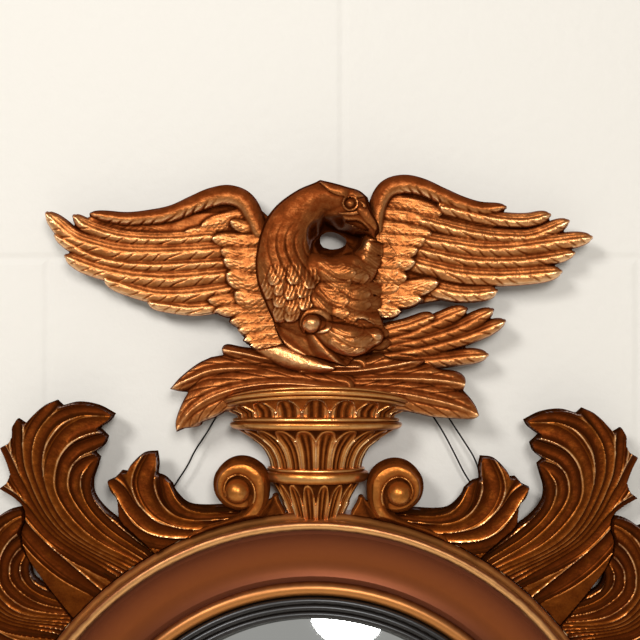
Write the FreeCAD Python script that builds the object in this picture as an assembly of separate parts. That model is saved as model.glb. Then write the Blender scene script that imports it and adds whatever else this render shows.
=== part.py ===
import FreeCAD, Part
import math
import os

V = FreeCAD.Vector

# Convex bullseye mirror in a carved and gilded frame, millimetres.
# X is to the viewer's right, Z is up, and the front faces -Y.
# The origin is the centre of the ring's rear face, on the wall plane Y = 0.

# Ring and what it holds
ring_radius = 216.0
ring_rear_land = 21.0
ring_edge_height = 22.0
fillet_rise = 4.0
bead_line_radius = 208.7
bead_size = 3.2
bead_front = 33.0
cavetto_outer_radius = 202.5
cavetto_inner_radius = 173.0
cavetto_floor = 21.0
cavetto_dip = 4.0
lip_radius = 160.0
lip_torus = 5.0
rebate_radius = 176.0
step_depth = 4.0
slip_sight_radius = 146.0
slip_reeds = 3
slip_flange = 2.0
slip_height = 10.0
slip_lead = 7.5
glass_radius = 152.4
glass_curve = 560.0
glass_thickness = 3.0
cushion_width = 5.0
block_count = 8
block_length = 14.0
backboard_thickness = 4.0
glass_room = 7.0
fit_gap = 0.3
seat_gap = 0.1

# Turn buttons on the back
button_count = 4
button_first_angle = 45.0
button_width = 10.0
button_nose = 18.0
button_tail = 7.0
button_thickness = 1.6
button_play = 0.1
screw_shank = 2.0
screw_head = 3.6
screw_head_height = 1.4
screw_grip = 10.0

# Carved crest: every carving is flat-backed and stands clear of the wall for the wire
carving_back = 14.0
glue_line = 0.2
side_draft = 1.6
tip_share = 0.22
leaf_point = 0.66
wing_depth = 9.0
leaf_depth = 15.0
left_root_x = -30.0
right_root_x = 40.0
root_depth = 16.0
tail_top_z = 349.5
right_side_turn = 1.7
side_leaf_turn = 16.0
side_leaf_reach = 0.7

# Urn
urn_axis_x = 1.5
urn_fullness = 0.76
collar_half = 36.0
collar_z = 236.5

# Volutes
volute_x = 49.5
volute_z = 235.0
volute_radius = 16.5
volute_depth = 20.0
ball_radius = 8.0

# Crest batten, dowels and screws
batten_width = 30.0
batten_thickness = 10.0
batten_foot_z = 197.5
batten_top_z = 338.0
batten_screw_radius = 1.75
batten_screw_length = 18.0
dowel_radius = 2.5
dowel_length = 26.0
dowel_depth = 18.0
hole_play = 0.1

# Hanging wire
wire_radius = 0.6
wire_depth = 8.5
hook_x = 10.0
hook_z = 385.0
hook_radius = 3.0
eye_radius = 4.0
eye_wire = 1.2
eye_shank = 9.0
left_eye = (-104.5, 213.0)
right_eye = (120.5, 215.0)
short_end = 12.0
tail_corner = (110.0, 251.0)
tail_end = (84.0, 291.0)
tail_bend = 45.0

lip_back = step_depth + backboard_thickness + glass_room
button_radius = (rebate_radius + ring_radius - ring_rear_land) / 2


def spline(points):
    """A smooth curve through points given as (x, z)."""
    curve = Part.BSplineCurve()
    curve.interpolate([V(x, 0, z) for x, z in points])
    return curve


def along(values, t):
    """Straight-line reading of a list of values spread evenly from t = 0 to t = 1."""
    place = t * (len(values) - 1)
    first = min(int(place), len(values) - 2)
    share = place - first
    return values[first] * (1 - share) + values[first + 1] * share


def crowned(points, widths, depths, crown, under=3.0, sections=7, draft=side_draft, taper_from=1.0):
    """A carved strip: flat underside, drafted sides, and an arched (or gouged, if crown < 0) front.

    Sections square to the path are lofted; widths are half-widths of the outline.
    From the share taper_from of its length on, the strip narrows to its tip.
    """
    path = spline(points)
    start, end = path.FirstParameter, path.LastParameter
    wires = []
    for i in range(sections):
        t = i / (sections - 1)
        u = start + (end - start) * t
        middle = path.value(u)
        run = path.tangent(u)[0]
        side = V(-run.z, 0, run.x)
        half = along(widths, t)
        if t > taper_from:
            half = half * (1 - (1 - tip_share) * (t - taper_from) / (1 - taper_from))
        lean = min(draft, 0.45 * half)
        deep = V(0, -carving_back - along(depths, t), 0)
        base = V(0, -carving_back + under, 0)
        rise = crown * half / max(widths)
        corners = [middle - side * half + base, middle + side * half + base]
        corners.append(middle + side * (half - lean) + deep)
        corners.append(middle - side * (half - lean) + deep)
        top = middle + deep + V(0, -rise, 0)
        edges = [Part.makeLine(corners[0], corners[1])]
        edges.append(Part.makeLine(corners[1], corners[2]))
        edges.append(Part.Arc(corners[2], top, corners[3]).toShape())
        edges.append(Part.makeLine(corners[3], corners[0]))
        wires.append(Part.Wire(edges))
    return Part.makeLoft(wires, True, False)


def block(x0, x1, y0, y1, z0, z1):
    return Part.makeBox(x1 - x0, y1 - y0, z1 - z0, V(x0, y0, z0))


def rod(start, direction, radius, length):
    return Part.makeCylinder(radius, length, start, direction)


def one_solid(shape):
    """The largest solid of a shape, with joined faces made one."""
    solid = max(shape.Solids, key=lambda s: s.Volume)
    return solid.removeSplitter()


def carve(strips):
    """Strips joined into one flat-backed carving."""
    joined = strips[0].multiFuse(strips[1:]) if len(strips) > 1 else strips[0]
    behind = block(-400, 400, -carving_back, 60, -400, 500)
    return one_solid(joined.cut(behind))


def strokes(rows, depth, crown, draft=side_draft, taper_from=5 / 6):
    """One strip per row of (path, half-widths, share of the depth).

    Each underside starts at its own level behind the back plane, and carve() trims them all to it.
    """
    made = []
    for i, (points, widths, share) in enumerate(rows):
        tall = depth * share
        levels = [tall, tall, tall, 0.85 * tall]
        under = 2.0 + 0.37 * i
        made.append(crowned(points, widths, levels, crown, under, draft=draft, taper_from=taper_from))
    return made


def mirrored(shape):
    return shape.mirror(V(0, 0, 0), V(1, 0, 0))


def turned(shape, degrees):
    """Turned clockwise about the ring's centre, as seen from the front."""
    copy = shape.copy()
    copy.rotate(V(0, 0, 0), V(0, 1, 0), degrees)
    return copy


def revolved(profile_edges):
    """A full turn about the ring's axis of a profile drawn as (radius, y)."""
    face = Part.Face(Part.Wire(profile_edges))
    return face.revolve(V(0, 0, 0), V(0, 1, 0), 360)


def polyline(points):
    return [Part.makeLine(V(*a, 0), V(*b, 0)) for a, b in zip(points, points[1:])]


def arc(a, b, c):
    return Part.Arc(V(*a, 0), V(*b, 0), V(*c, 0)).toShape()


def ring_point(angle, radius, y):
    """A point at an angle in degrees, counted from the top towards the viewer's right."""
    a = math.radians(angle)
    return V(radius * math.sin(a), y, radius * math.cos(a))


def outward(angle):
    return ring_point(angle, 1.0, 0.0)


# Ring: a turned moulding with a bead line, a cavetto and an inner torus, stepped at the back
def make_ring():
    rear = ring_radius - ring_rear_land
    bead_in = bead_line_radius - bead_size
    bead_out = bead_line_radius + bead_size
    bead_y = -bead_front + bead_size
    torus_middle = lip_radius + lip_torus
    torus_y = -cavetto_floor
    floor_y = -cavetto_floor
    middle = (cavetto_outer_radius + cavetto_inner_radius) / 2
    dip_y = (bead_y + 1 + floor_y) / 2 + cavetto_dip
    edges = polyline([
        (rear, 0), (ring_radius, 0), (ring_radius, -ring_edge_height),
        (bead_out + 1.2, -ring_edge_height - 2.5), (bead_out, -ring_edge_height - fillet_rise),
        (bead_out, bead_y),
    ])
    edges.append(arc((bead_out, bead_y), (bead_line_radius, -bead_front), (bead_in, bead_y)))
    edges += polyline([(bead_in, bead_y), (bead_in, bead_y + 1), (cavetto_outer_radius, bead_y + 1)])
    edges.append(arc((cavetto_outer_radius, bead_y + 1), (middle, dip_y), (cavetto_inner_radius, floor_y)))
    torus_out = torus_middle + lip_torus
    edges += polyline([(cavetto_inner_radius, floor_y), (torus_out, torus_y)])
    edges.append(arc((torus_out, torus_y), (torus_middle, torus_y - lip_torus), (lip_radius, torus_y)))
    edges += polyline([
        (lip_radius, torus_y), (lip_radius, -lip_back), (rebate_radius, -lip_back),
        (rebate_radius, -step_depth), (rear, -step_depth), (rear, 0),
    ])
    ring = revolved(edges)
    half = batten_width / 2 + fit_gap
    lap = block(-half, half, -carving_back, 5, batten_foot_z - fit_gap, ring_radius + 5)
    return ring.cut(lap)


# Ebonised slip: a flange behind the lip and a reeded nose beside the glass
def make_slip():
    outer = rebate_radius - fit_gap
    nose = lip_radius - fit_gap
    back = -lip_back + slip_flange
    front = -lip_back - slip_height
    reed = (nose - slip_sight_radius) / slip_reeds
    edges = polyline([
        (slip_sight_radius, front), (slip_sight_radius, -lip_back - 1.2),
        (slip_sight_radius + slip_lead, back), (outer, back), (outer, -lip_back),
        (nose, -lip_back), (nose, front),
    ])
    for i in range(slip_reeds):
        start = nose - i * reed
        edges.append(arc((start, front), (start - reed / 2, front - reed / 2), (start - reed, front)))
    return revolved(edges)


# Convex glass: a shell between two spheres, with a ground edge
def make_glass():
    edge_y = -lip_back + slip_flange + seat_gap
    inner_curve = glass_curve - glass_thickness
    rise = glass_curve - math.sqrt(glass_curve ** 2 - glass_radius ** 2)
    apex = edge_y - rise
    half_angle = math.asin(glass_radius / glass_curve) / 2
    mid_r = glass_curve * math.sin(half_angle)
    mid_y = apex + glass_curve * (1 - math.cos(half_angle))
    rear_apex = apex + glass_thickness
    rear_edge = rear_apex + inner_curve - math.sqrt(inner_curve ** 2 - glass_radius ** 2)
    rear_mid_r = inner_curve * math.sin(half_angle)
    rear_mid_y = rear_apex + inner_curve * (1 - math.cos(half_angle))
    edges = [arc((0, apex), (mid_r, mid_y), (glass_radius, edge_y))]
    edges += polyline([(glass_radius, edge_y), (glass_radius, rear_edge)])
    edges.append(arc((glass_radius, rear_edge), (rear_mid_r, rear_mid_y), (0, rear_apex)))
    edges += polyline([(0, rear_apex), (0, apex)])
    return revolved(edges), rear_edge


def make_cushion(glass_rear):
    front = glass_rear + seat_gap
    rear = -step_depth - backboard_thickness
    inner = glass_radius - cushion_width
    tube = rod(V(0, front, 0), V(0, 1, 0), glass_radius, rear - front)
    return tube.cut(rod(V(0, front, 0), V(0, 1, 0), inner, rear - front))


def make_blocks():
    inner = glass_radius + 2 * fit_gap
    outer = rebate_radius - 4.0
    front = -lip_back + slip_flange
    rear = -step_depth - backboard_thickness
    first = block(-block_length / 2, block_length / 2, front, rear, inner, outer)
    return Part.makeCompound([turned(first, 360 / block_count * i) for i in range(block_count)])


def make_backboard():
    disc = rod(V(0, -step_depth - backboard_thickness, 0), V(0, 1, 0), rebate_radius - 1, backboard_thickness)
    return disc


def make_button(angle):
    """A brass bar with round ends on one screw; its nose laps over the backboard when closed."""
    low = -step_depth + button_play
    half = button_width / 2
    nose_z = button_radius - button_nose + half
    tail_z = button_radius + button_tail - half
    bar = block(-half, half, low, low + button_thickness, nose_z, tail_z)
    ends = [rod(V(0, low, z), V(0, 1, 0), half, button_thickness) for z in (nose_z, tail_z)]
    plate = bar.multiFuse(ends).removeSplitter()
    hole = rod(V(0, -20, button_radius), V(0, 1, 0), screw_shank + button_play, 40)
    return turned(plate.cut(hole), angle)


def button_screw(angle):
    head_y = -step_depth + 2 * button_play + button_thickness
    start = V(0, -step_depth - screw_grip, button_radius)
    shank = rod(start, V(0, 1, 0), screw_shank, head_y - start.y)
    head = rod(V(0, head_y, button_radius), V(0, 1, 0), screw_head, screw_head_height)
    return turned(shank.fuse(head).removeSplitter(), angle)


def screw_bores(angle):
    start = V(0, -step_depth - screw_grip, button_radius)
    return turned(rod(start, V(0, 1, 0), screw_shank + hole_play, screw_grip + 3), angle)


# Wings: a smooth leading roll, long primaries behind it and short coverts at the root
left_wing_rows = [
    ([(-20, 376), (-60, 386), (-100, 390), (-140, 396)], [32, 33, 27, 13], 0.55),
    ([(-30, 404), (-46, 414), (-80, 412), (-112, 407)], [9, 10, 8, 4], 0.62),
    ([(-36, 404), (-45, 423), (-68, 427.5), (-95, 416), (-128, 413), (-149, 416)], [6, 6.5, 6.5, 6, 5], 1.3),
    ([(-69, 402), (-104, 399), (-140, 404), (-161, 415)], [4.5, 4.5, 4.5], 1.0),
    ([(-60, 392), (-107, 390), (-150, 396), (-179.5, 417)], [5.5, 6, 6], 1.06),
    ([(-60, 384), (-109, 381.5), (-150, 389), (-174, 402)], [4.5, 4.5, 4.5], 1.0),
    ([(-57, 376), (-100, 372.5), (-140, 378), (-167, 388)], [5.5, 6, 5.5], 1.04),
    ([(-50, 367), (-88, 361.5), (-120, 365), (-141, 372.5)], [5, 5.5, 5], 1.0),
    ([(-46, 356), (-76, 353), (-96, 353.5), (-111.5, 357)], [4.5, 4.5, 4], 0.95),
    ([(-24, 399), (-46, 397), (-69, 400)], [5, 5], 1.3),
    ([(-24, 390), (-44, 388.5), (-63, 391)], [5, 5], 1.35),
    ([(-24, 382), (-43, 380.5), (-61, 384)], [5, 5], 1.38),
    ([(-24, 371), (-42, 370), (-59, 375)], [6, 6], 1.4),
    ([(-22, 359), (-42, 356), (-68, 356)], [6, 6], 1.35),
    ([(-20, 349), (-40, 345), (-57, 344)], [6, 5.5], 1.3),
    ([(-18, 341), (-36, 336.5), (-49.5, 334)], [5.5, 5], 1.2),
    ([(-36, 414), (-56, 412), (-80, 406)], [5.5, 5.5], 1.0),
]
right_wing_rows = [
    ([(30, 384), (75, 386), (110, 390), (145, 394)], [34, 28, 24, 14], 0.55),
    ([(36, 404), (56, 420), (84, 417), (114, 411)], [9, 11, 8, 4], 0.62),
    ([(42, 404), (46, 427), (62, 436), (87, 428), (114, 419), (129, 421)], [5.5, 6.5, 6.5, 6, 5], 1.3),
    ([(88, 420), (118, 413.5), (142, 412.5), (159, 416)], [4.5, 5, 4.5], 1.1),
    ([(70, 412), (108, 402.5), (148, 402), (171.5, 412)], [4.5, 5, 5], 1.02),
    ([(66, 400), (114, 392.5), (155, 396), (187, 400.5)], [5.5, 6, 5.5], 1.06),
    ([(64, 392), (114, 384), (150, 386), (175, 390)], [4.5, 5, 4.5], 1.0),
    ([(60, 383), (108, 374), (140, 375), (166.5, 377.8)], [5.5, 6, 5.5], 1.04),
    ([(58, 371), (84, 365), (106, 362.5), (123, 364.5)], [5, 5.5, 4.5], 1.0),
    ([(38, 412), (60, 411), (81, 408)], [5.5, 5], 1.15),
    ([(36, 404), (60, 402), (79, 403)], [5.5, 5], 1.25),
    ([(34, 396), (56, 394), (75, 398.5)], [5.5, 5], 1.3),
    ([(34, 388), (54, 386), (70, 390)], [5, 5], 1.35),
    ([(34, 380), (52, 378), (67, 381)], [5, 5], 1.38),
    ([(34, 372), (58, 366), (83, 370)], [6, 6], 1.35),
    ([(32, 362), (52, 359), (72.5, 360)], [7, 6], 1.3),
    ([(32, 353), (46, 350), (60, 350)], [6, 5], 1.2),
]
tail_rows = [
    ([(30, 334), (50, 338), (66, 342), (81, 349)], [6, 6, 5.5], 1.3),
    ([(32, 329), (62, 335), (84, 344), (102.6, 353)], [6, 6, 5.5], 1.2),
    ([(32, 325), (67, 330), (97, 340), (121, 352.5)], [6, 6, 5.5], 1.15),
    ([(34, 320), (70, 325), (100, 333), (129, 345)], [6, 6, 5.5], 1.1),
    ([(40, 317), (72, 317), (96, 319.5), (117.5, 322)], [5, 6, 5], 1.05),
]


def make_wing(rows, side):
    wing = carve(strokes(rows, wing_depth, 2.6))
    if side < 0:
        root = block(left_root_x - glue_line, 400, -80, 20, 0, 500)
        return one_solid(wing.cut(root))
    root = block(-400, right_root_x + glue_line, -80, 20, 0, 500)
    below = block(-400, 400, -80, 20, 0, tail_top_z + glue_line)
    return one_solid(wing.cut(root).cut(below))


def make_tail():
    tail = carve(strokes(tail_rows, wing_depth, 2.6))
    root = block(-400, right_root_x + glue_line, -80, 20, 0, 500)
    above = block(-400, right_root_x + 20, -80, 20, tail_top_z, 500)
    return one_solid(tail.cut(root).cut(above))


# Eagle: breast and looped neck, head with a hooked beak, thigh with its scroll, and the drawn-up legs
def make_eagle():
    parts = []
    neck = [(2, 352), (-14, 360), (-23, 378), (-22, 396), (-14, 412), (0, 423), (14, 425)]
    backing = [(5, 382), (5, 358), (8, 332)]
    parts.append(crowned(backing, [37, 39, 37], [13, 14, 13], 4, 2.7, 5, 2))
    neck_depths = [18, 22, 24, 25, 25, 26, 26]
    parts.append(crowned(neck, [16, 18.5, 18.5, 18.5, 16.5, 14, 13], neck_depths, 14, 3.1, 9, 5))
    head = [(2, 424), (16, 424), (27, 418.5), (35, 410), (41.5, 401)]
    parts.append(crowned(head, [12, 12.5, 11, 8, 2.5], [28, 30, 29, 27, 22], 9, 3.5, 7, 4))
    shoulder = [(37, 402), (37, 392), (33, 380), (22, 372)]
    parts.append(crowned(shoulder, [7, 10, 10, 9], [17, 19, 22, 22], 7, 3.9, 6, 3))
    breast = [(-2, 384), (2, 366), (10, 347), (17, 330), (19, 312)]
    parts.append(crowned(breast, [20, 31, 32, 24, 9], [20, 23, 24, 24, 22], 13, 4.3, 8, 4))
    thigh = [(-2, 341), (10, 334), (25, 332), (40, 336)]
    parts.append(crowned(thigh, [6, 9, 9, 4], [33, 34, 32, 26], 8, 4.7, 6, 2))
    leg = [(4, 336), (11, 325), (20, 312.5)]
    parts.append(crowned(leg, [9, 9, 5], [30, 30, 27], 7, 5.1, 5, 2))
    hip = [(-25, 344), (-16, 331), (-2, 321)]
    parts.append(crowned(hip, [5, 7, 5], [22, 22, 20], 4, 5.5, 5, 2))
    scroll = Part.makeSphere(6.0, V(0, -carving_back - 38, 341))
    parts.append(scroll)
    eye = Part.makeSphere(3.2, V(24, -carving_back - 35.5, 421))
    parts.append(eye)
    bird = carve(parts)
    roots = block(-400, left_root_x, -carving_back - root_depth, 20, 0, 500)
    roots = roots.fuse(block(right_root_x, 400, -carving_back - root_depth, 20, 0, 500))
    return one_solid(bird.cut(roots))


# Leaf bed under the bird, laid over the urn's rim
plinth_rows = [
    ([(30, 311), (-10, 311), (-42, 317), (-61, 327)], [9, 10, 9], 1.15),
    ([(-20, 312), (-50, 313), (-78, 309), (-98, 299.5)], [8, 10, 8], 0.9),
    ([(0, 302), (-40, 302), (-72, 291), (-91, 269)], [10, 13, 13], 1.25),
    ([(0, 308), (30, 310), (52, 313), (74, 320)], [10, 9, 7], 1.2),
    ([(20, 303), (60, 304), (86, 304), (103, 301.5)], [9, 10, 10], 1.0),
    ([(10, 300), (56, 296), (88, 290), (111, 280.5)], [9, 11, 11], 1.05),
]


def make_plinth(neighbours):
    bed = carve(strokes(plinth_rows, leaf_depth + 4, 5.0, taper_from=leaf_point))
    for other in neighbours:
        bed = one_solid(bed.cut(other))
    return bed


# Urn: half-round sections in planes that tip forward, so that the rims read as arches
def urn_section(under, half, z, rise, depth=None):
    deep = half * urn_fullness if depth is None else depth
    left = V(urn_axis_x - half, -carving_back, z)
    front = V(urn_axis_x, -carving_back - deep, z + rise)
    right = V(urn_axis_x + half, -carving_back, z)
    back = V(0, under, -rise * under / deep)
    edges = [Part.Arc(left, front, right).toShape(), Part.makeLine(right, right + back)]
    edges += [Part.makeLine(right + back, left + back), Part.makeLine(left + back, left)]
    return Part.Wire(edges)


def urn_stage(under, rows):
    return Part.makeLoft([urn_section(under, *row) for row in rows], True, False)


def make_urn():
    foot = urn_stage(2.0, [(17, 206, 0), (18, 214, 0), (22, 224, 0), (29, 237.5, 0)])
    collar = urn_stage(2.4, [
        (collar_half - 3, collar_z, 0), (collar_half, collar_z + 2.5, 0),
        (collar_half, collar_z + 6.5, 0.3), (collar_half - 2.5, collar_z + 9, 0.3),
    ])
    flare = [(29.5, 244.5, 0.3), (30.5, 251, 0.5), (35, 259, 1), (44, 265.5, 1.5), (56, 272.2, 2.2)]
    calyx = urn_stage(2.8, flare)
    bead = urn_stage(3.2, [(55, 271.3, 2.2), (59, 273, 2.4), (59, 276.3, 2.8), (54, 278.5, 3.2)])
    cove = urn_stage(3.6, [(52.5, 277.5, 3.2, 37), (54, 280.2, 6.5, 38), (61, 282.5, 11, 42)])
    brim = [(62, 281.3, 10.8, 44), (67, 283.3, 12.5, 48), (68, 286.5, 14, 49), (64, 289.5, 15, 46)]
    rim = urn_stage(4.0, brim)
    urn = carve([foot, collar, calyx, bead, cove, rim])
    ring_face = rod(V(0, -ring_edge_height - fillet_rise - fit_gap, 0), V(0, 1, 0), ring_radius + fit_gap, 60)
    bead_step = rod(V(0, -60, 0), V(0, 1, 0), bead_line_radius + bead_size + fit_gap, 60)
    return one_solid(urn.cut(ring_face).cut(bead_step))


# Volutes: a scroll band wound round a ball, its stem running down on to the ring
def make_volute():
    core = Part.makeCone(
        volute_radius - 2, volute_radius - 6, volute_depth, V(-volute_x, -carving_back, volute_z), V(0, -1, 0)
    )
    turns = []
    for i in range(8):
        angle = math.radians(205 - 30 * i)
        radius = 10.0 + 0.25 * i
        turns.append((-volute_x + radius * math.cos(angle), volute_z + radius * math.sin(angle)))
    turns += [(-37.5, 222), (-44, 211), (-58, 205), (-76, 202)]
    band = crowned(turns, [5, 6.3, 6.3, 6.2, 6, 5.5, 5, 2], [18, 21, 22, 22, 20, 16, 14, 11], 5, 3.3, 16, 2)
    ball = Part.makeSphere(ball_radius, V(-volute_x + 0.7, -carving_back - volute_depth, volute_z - 3.5))
    ring_body = rod(V(0, -60, 0), V(0, 1, 0), ring_radius + glue_line, 80)
    return one_solid(carve([core, band, ball]).cut(ring_body))


def let_in(volute):
    """The volute trimmed to let the urn's collar in beside it."""
    end = urn_axis_x - collar_half - fit_gap
    return one_solid(volute.cut(block(end, 0, -60, 0, collar_z - fit_gap, collar_z + 20)))


# Acanthus leaves: gouged lobes that spring from the ring and curl outwards, drawn for the left side
inner_leaf_rows = [
    ([(-54, 214), (-81, 211), (-103, 221), (-112, 239), (-105, 257)], [5, 8, 9.5, 9.5], 1.0),
    ([(-62, 206), (-97, 207), (-120, 219), (-131, 232), (-137, 238)], [6, 9, 9, 6.5], 0.9),
    ([(-56, 218), (-80, 218), (-94, 226), (-98, 241)], [4, 6, 6.5], 0.85),
    ([(-70, 203), (-98, 200), (-118, 203), (-130, 214)], [8, 10, 10], 0.75),
]
outer_leaf_rows = [
    ([(-118, 188), (-150, 203), (-174, 232), (-174, 263), (-157, 281), (-131, 283)], [6, 9, 10, 10, 10], 1.1),
    ([(-114, 192), (-146, 208), (-168, 234), (-165, 257), (-151, 267), (-136, 268)], [5, 7, 9, 8.5, 7], 1.0),
    ([(-112, 196), (-138, 211), (-158, 232), (-160, 246), (-151, 253), (-141, 254)], [5, 6, 7, 6, 5], 0.92),
    ([(-112, 199), (-134, 212), (-149, 226), (-153, 240)], [4, 4.5, 4.5], 0.85),
    ([(-124, 186), (-160, 206), (-182, 244), (-181, 270), (-170, 292)], [6, 8, 10, 9.5], 1.0),
    ([(-126, 186), (-164, 206), (-188, 244), (-196, 280)], [6, 7, 9], 0.9),
    ([(-130, 186), (-166, 204), (-192, 237), (-207.5, 260.5)], [6, 8, 8], 0.85),
    ([(-134, 184), (-164, 200), (-188, 222), (-208.5, 233)], [6, 8, 7.5], 0.8),
]
leaf_seam = [(-139, 239), (-131, 217), (-130, 211), (-119, 200), (-104, 186), (-98, 170)]
outer_edge = [(-215, 236), (-198, 226.5), (-191, 220), (-190, 212), (-172, 200), (-148, 182), (-128, 168)]


def prism(points):
    """An upright wall of material with the outline given as (x, z)."""
    corners = [V(x, -90, z) for x, z in points]
    outline = Part.makePolygon(corners + corners[:1])
    return Part.Face(outline).extrude(V(0, 110, 0))


def off_ring(shape):
    return shape.cut(rod(V(0, -90, 0), V(0, 1, 0), ring_radius + glue_line, 120))


def make_inner_leaf(volute):
    leaf = carve(strokes(inner_leaf_rows, leaf_depth, -2.0, 4.0, leaf_point))
    beyond = prism(leaf_seam + [(-150, 150), (-260, 150), (-260, 320), (-139, 320)])
    return one_solid(off_ring(leaf.cut(beyond)).cut(volute))


def make_outer_leaf():
    leaf = carve(strokes(outer_leaf_rows, leaf_depth, -2.4, 4.5, leaf_point))
    shift = glue_line
    seam = [(x - shift, z - shift) for x, z in leaf_seam]
    inside = prism(seam + [(-40, 150), (-40, 245), (-138, 245)])
    below = prism(outer_edge + [(-128, 120), (-300, 120), (-300, 236)])
    return one_solid(off_ring(leaf.cut(inside).cut(below)))


def side_rows(rows):
    """The outer leaf's rows drawn in towards the ring and moved round it, away from the top."""
    placed = []
    for points, widths, share in rows:
        path = []
        for x, z in points:
            radius = ring_radius + (math.hypot(x, z) - ring_radius) * side_leaf_reach
            angle = math.atan2(x, z) - math.radians(side_leaf_turn)
            path.append((radius * math.sin(angle), radius * math.cos(angle)))
        placed.append((path, [w * side_leaf_reach for w in widths], share))
    return placed


def make_side_leaf():
    leaf = carve(strokes(side_rows(outer_leaf_rows), leaf_depth * 0.85, -1.8, 3.5, leaf_point))
    shift = glue_line
    edge = [(x + shift, z - shift) for x, z in outer_edge]
    above = prism([(-215, 330)] + edge + [(-60, 168), (-60, 330)])
    return one_solid(off_ring(leaf.cut(above)))


# Apron at the bottom: a hanging palmette between two small leaves
def make_apron():
    rows = [
        ([(0, -200), (0, -226), (0, -252), (0, -276)], [44, 34, 20, 8], 0.7),
        ([(0, -206), (0, -240), (0, -268), (0, -292)], [8, 11, 9], 1.1),
        ([(-4, -206), (-14, -236), (-24, -258), (-33, -276)], [6, 9, 8], 1.0),
        ([(4, -206), (14, -236), (24, -258), (33, -276)], [6, 9, 8], 1.0),
        ([(-8, -208), (-26, -228), (-41, -240), (-56, -247)], [6, 8, 7], 0.9),
        ([(8, -208), (26, -228), (41, -240), (56, -247)], [6, 8, 7], 0.9),
    ]
    return one_solid(off_ring(carve(strokes(rows, leaf_depth, -2.0, 4.0, leaf_point))))


def make_apron_leaf(apron):
    rows = []
    for points, widths, share in inner_leaf_rows:
        rows.append(([(x, -z) for x, z in points], widths, share))
    leaf = carve(strokes(rows, leaf_depth, -2.0, 4.0, leaf_point))
    return one_solid(off_ring(leaf).cut(apron))


# Crest batten behind the urn and the bird, lapped into the ring
def make_batten():
    half = batten_width / 2
    rear = -carving_back + batten_thickness
    return block(-half, half, -carving_back, rear, batten_foot_z, batten_top_z)


batten_screw_places = [(-8, 206), (8, 206)] + [(urn_axis_x, z) for z in (228, 264, 297, 328)]


def batten_screw(x, z, play=0.0):
    rear = -carving_back + batten_thickness
    tip = V(x, rear - batten_screw_length, z)
    shank = rod(tip, V(0, 1, 0), batten_screw_radius + play, batten_screw_length)
    if play:
        return shank
    head = rod(V(x, rear, z), V(0, 1, 0), 2 * batten_screw_radius, 1.6)
    return shank.fuse(head).removeSplitter()


# Dowels: across the wing and tail roots, and outwards from the ring into each leaf
root_dowel_places = [
    (left_root_x, 390), (left_root_x, 362), (right_root_x, 386), (right_root_x, 364), (right_root_x, 329),
]
leaf_dowel_angles = {
    "left_volute": [-12.8],
    "right_volute": [14.5],
    "left_inner_leaf": [-25.0],
    "right_inner_leaf": [26.7],
    "left_outer_leaf": [-34.5],
    "right_outer_leaf": [36.2],
    "left_side_leaf": [-50.0],
    "right_side_leaf": [51.7],
    "apron_palmette": [176.5, 183.5],
    "left_apron_leaf": [205.0],
    "right_apron_leaf": [155.0],
}


def root_dowel(x, z, play=0.0):
    start = V(x - dowel_length / 2 - play, -carving_back - 6.0, z)
    return rod(start, V(1, 0, 0), dowel_radius + play, dowel_length + 2 * play)


def leaf_dowel(angle, play=0.0):
    start = ring_point(angle, ring_radius - dowel_length / 2 - play, -dowel_depth)
    return rod(start, outward(angle), dowel_radius + play, dowel_length + 2 * play)


# Screw eyes in the backs of the inner leaves, and the wire from one to the other over the hook
def wire_level(place):
    return V(place[0], -wire_depth, place[1])


def towards(start, end):
    return (end - start).normalize()


def right_of(run):
    return V(run.z, 0, -run.x)


def make_eye(eye):
    middle = wire_level(eye)
    run = towards(middle, wire_level((hook_x, hook_z)))
    loop = Part.makeTorus(eye_radius, eye_wire, middle, right_of(run))
    shank = rod(middle + V(0, -eye_radius, 0), V(0, -1, 0), eye_wire, eye_shank)
    return loop.fuse(shank).removeSplitter()


def eye_bore(eye):
    start = wire_level(eye) + V(0, -eye_radius, 0)
    return rod(start, V(0, -1, 0), eye_wire + hole_play, eye_shank + hole_play)


def touching_normal(start, end, start_reach, end_reach, side):
    """The unit normal of a straight run that passes start_reach from one point and end_reach from another."""
    run = towards(start, end)
    lean = (start_reach - end_reach) / (end - start).Length
    return side * math.sqrt(1 - lean ** 2) + run * lean


def bent(start, corner, end, radius):
    """A straight run, a tangent arc and another straight run."""
    first = towards(start, corner)
    second = towards(corner, end)
    turn = first.getAngle(second)
    cut = radius * math.tan(turn / 2)
    inside = (second - first).normalize()
    middle = corner + inside * (radius / math.cos(turn / 2) - radius)
    before = corner - first * cut
    after = corner + second * cut
    curve = Part.Arc(before, middle, after).toShape()
    return [Part.makeLine(start, before), curve, Part.makeLine(after, end)]


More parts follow.
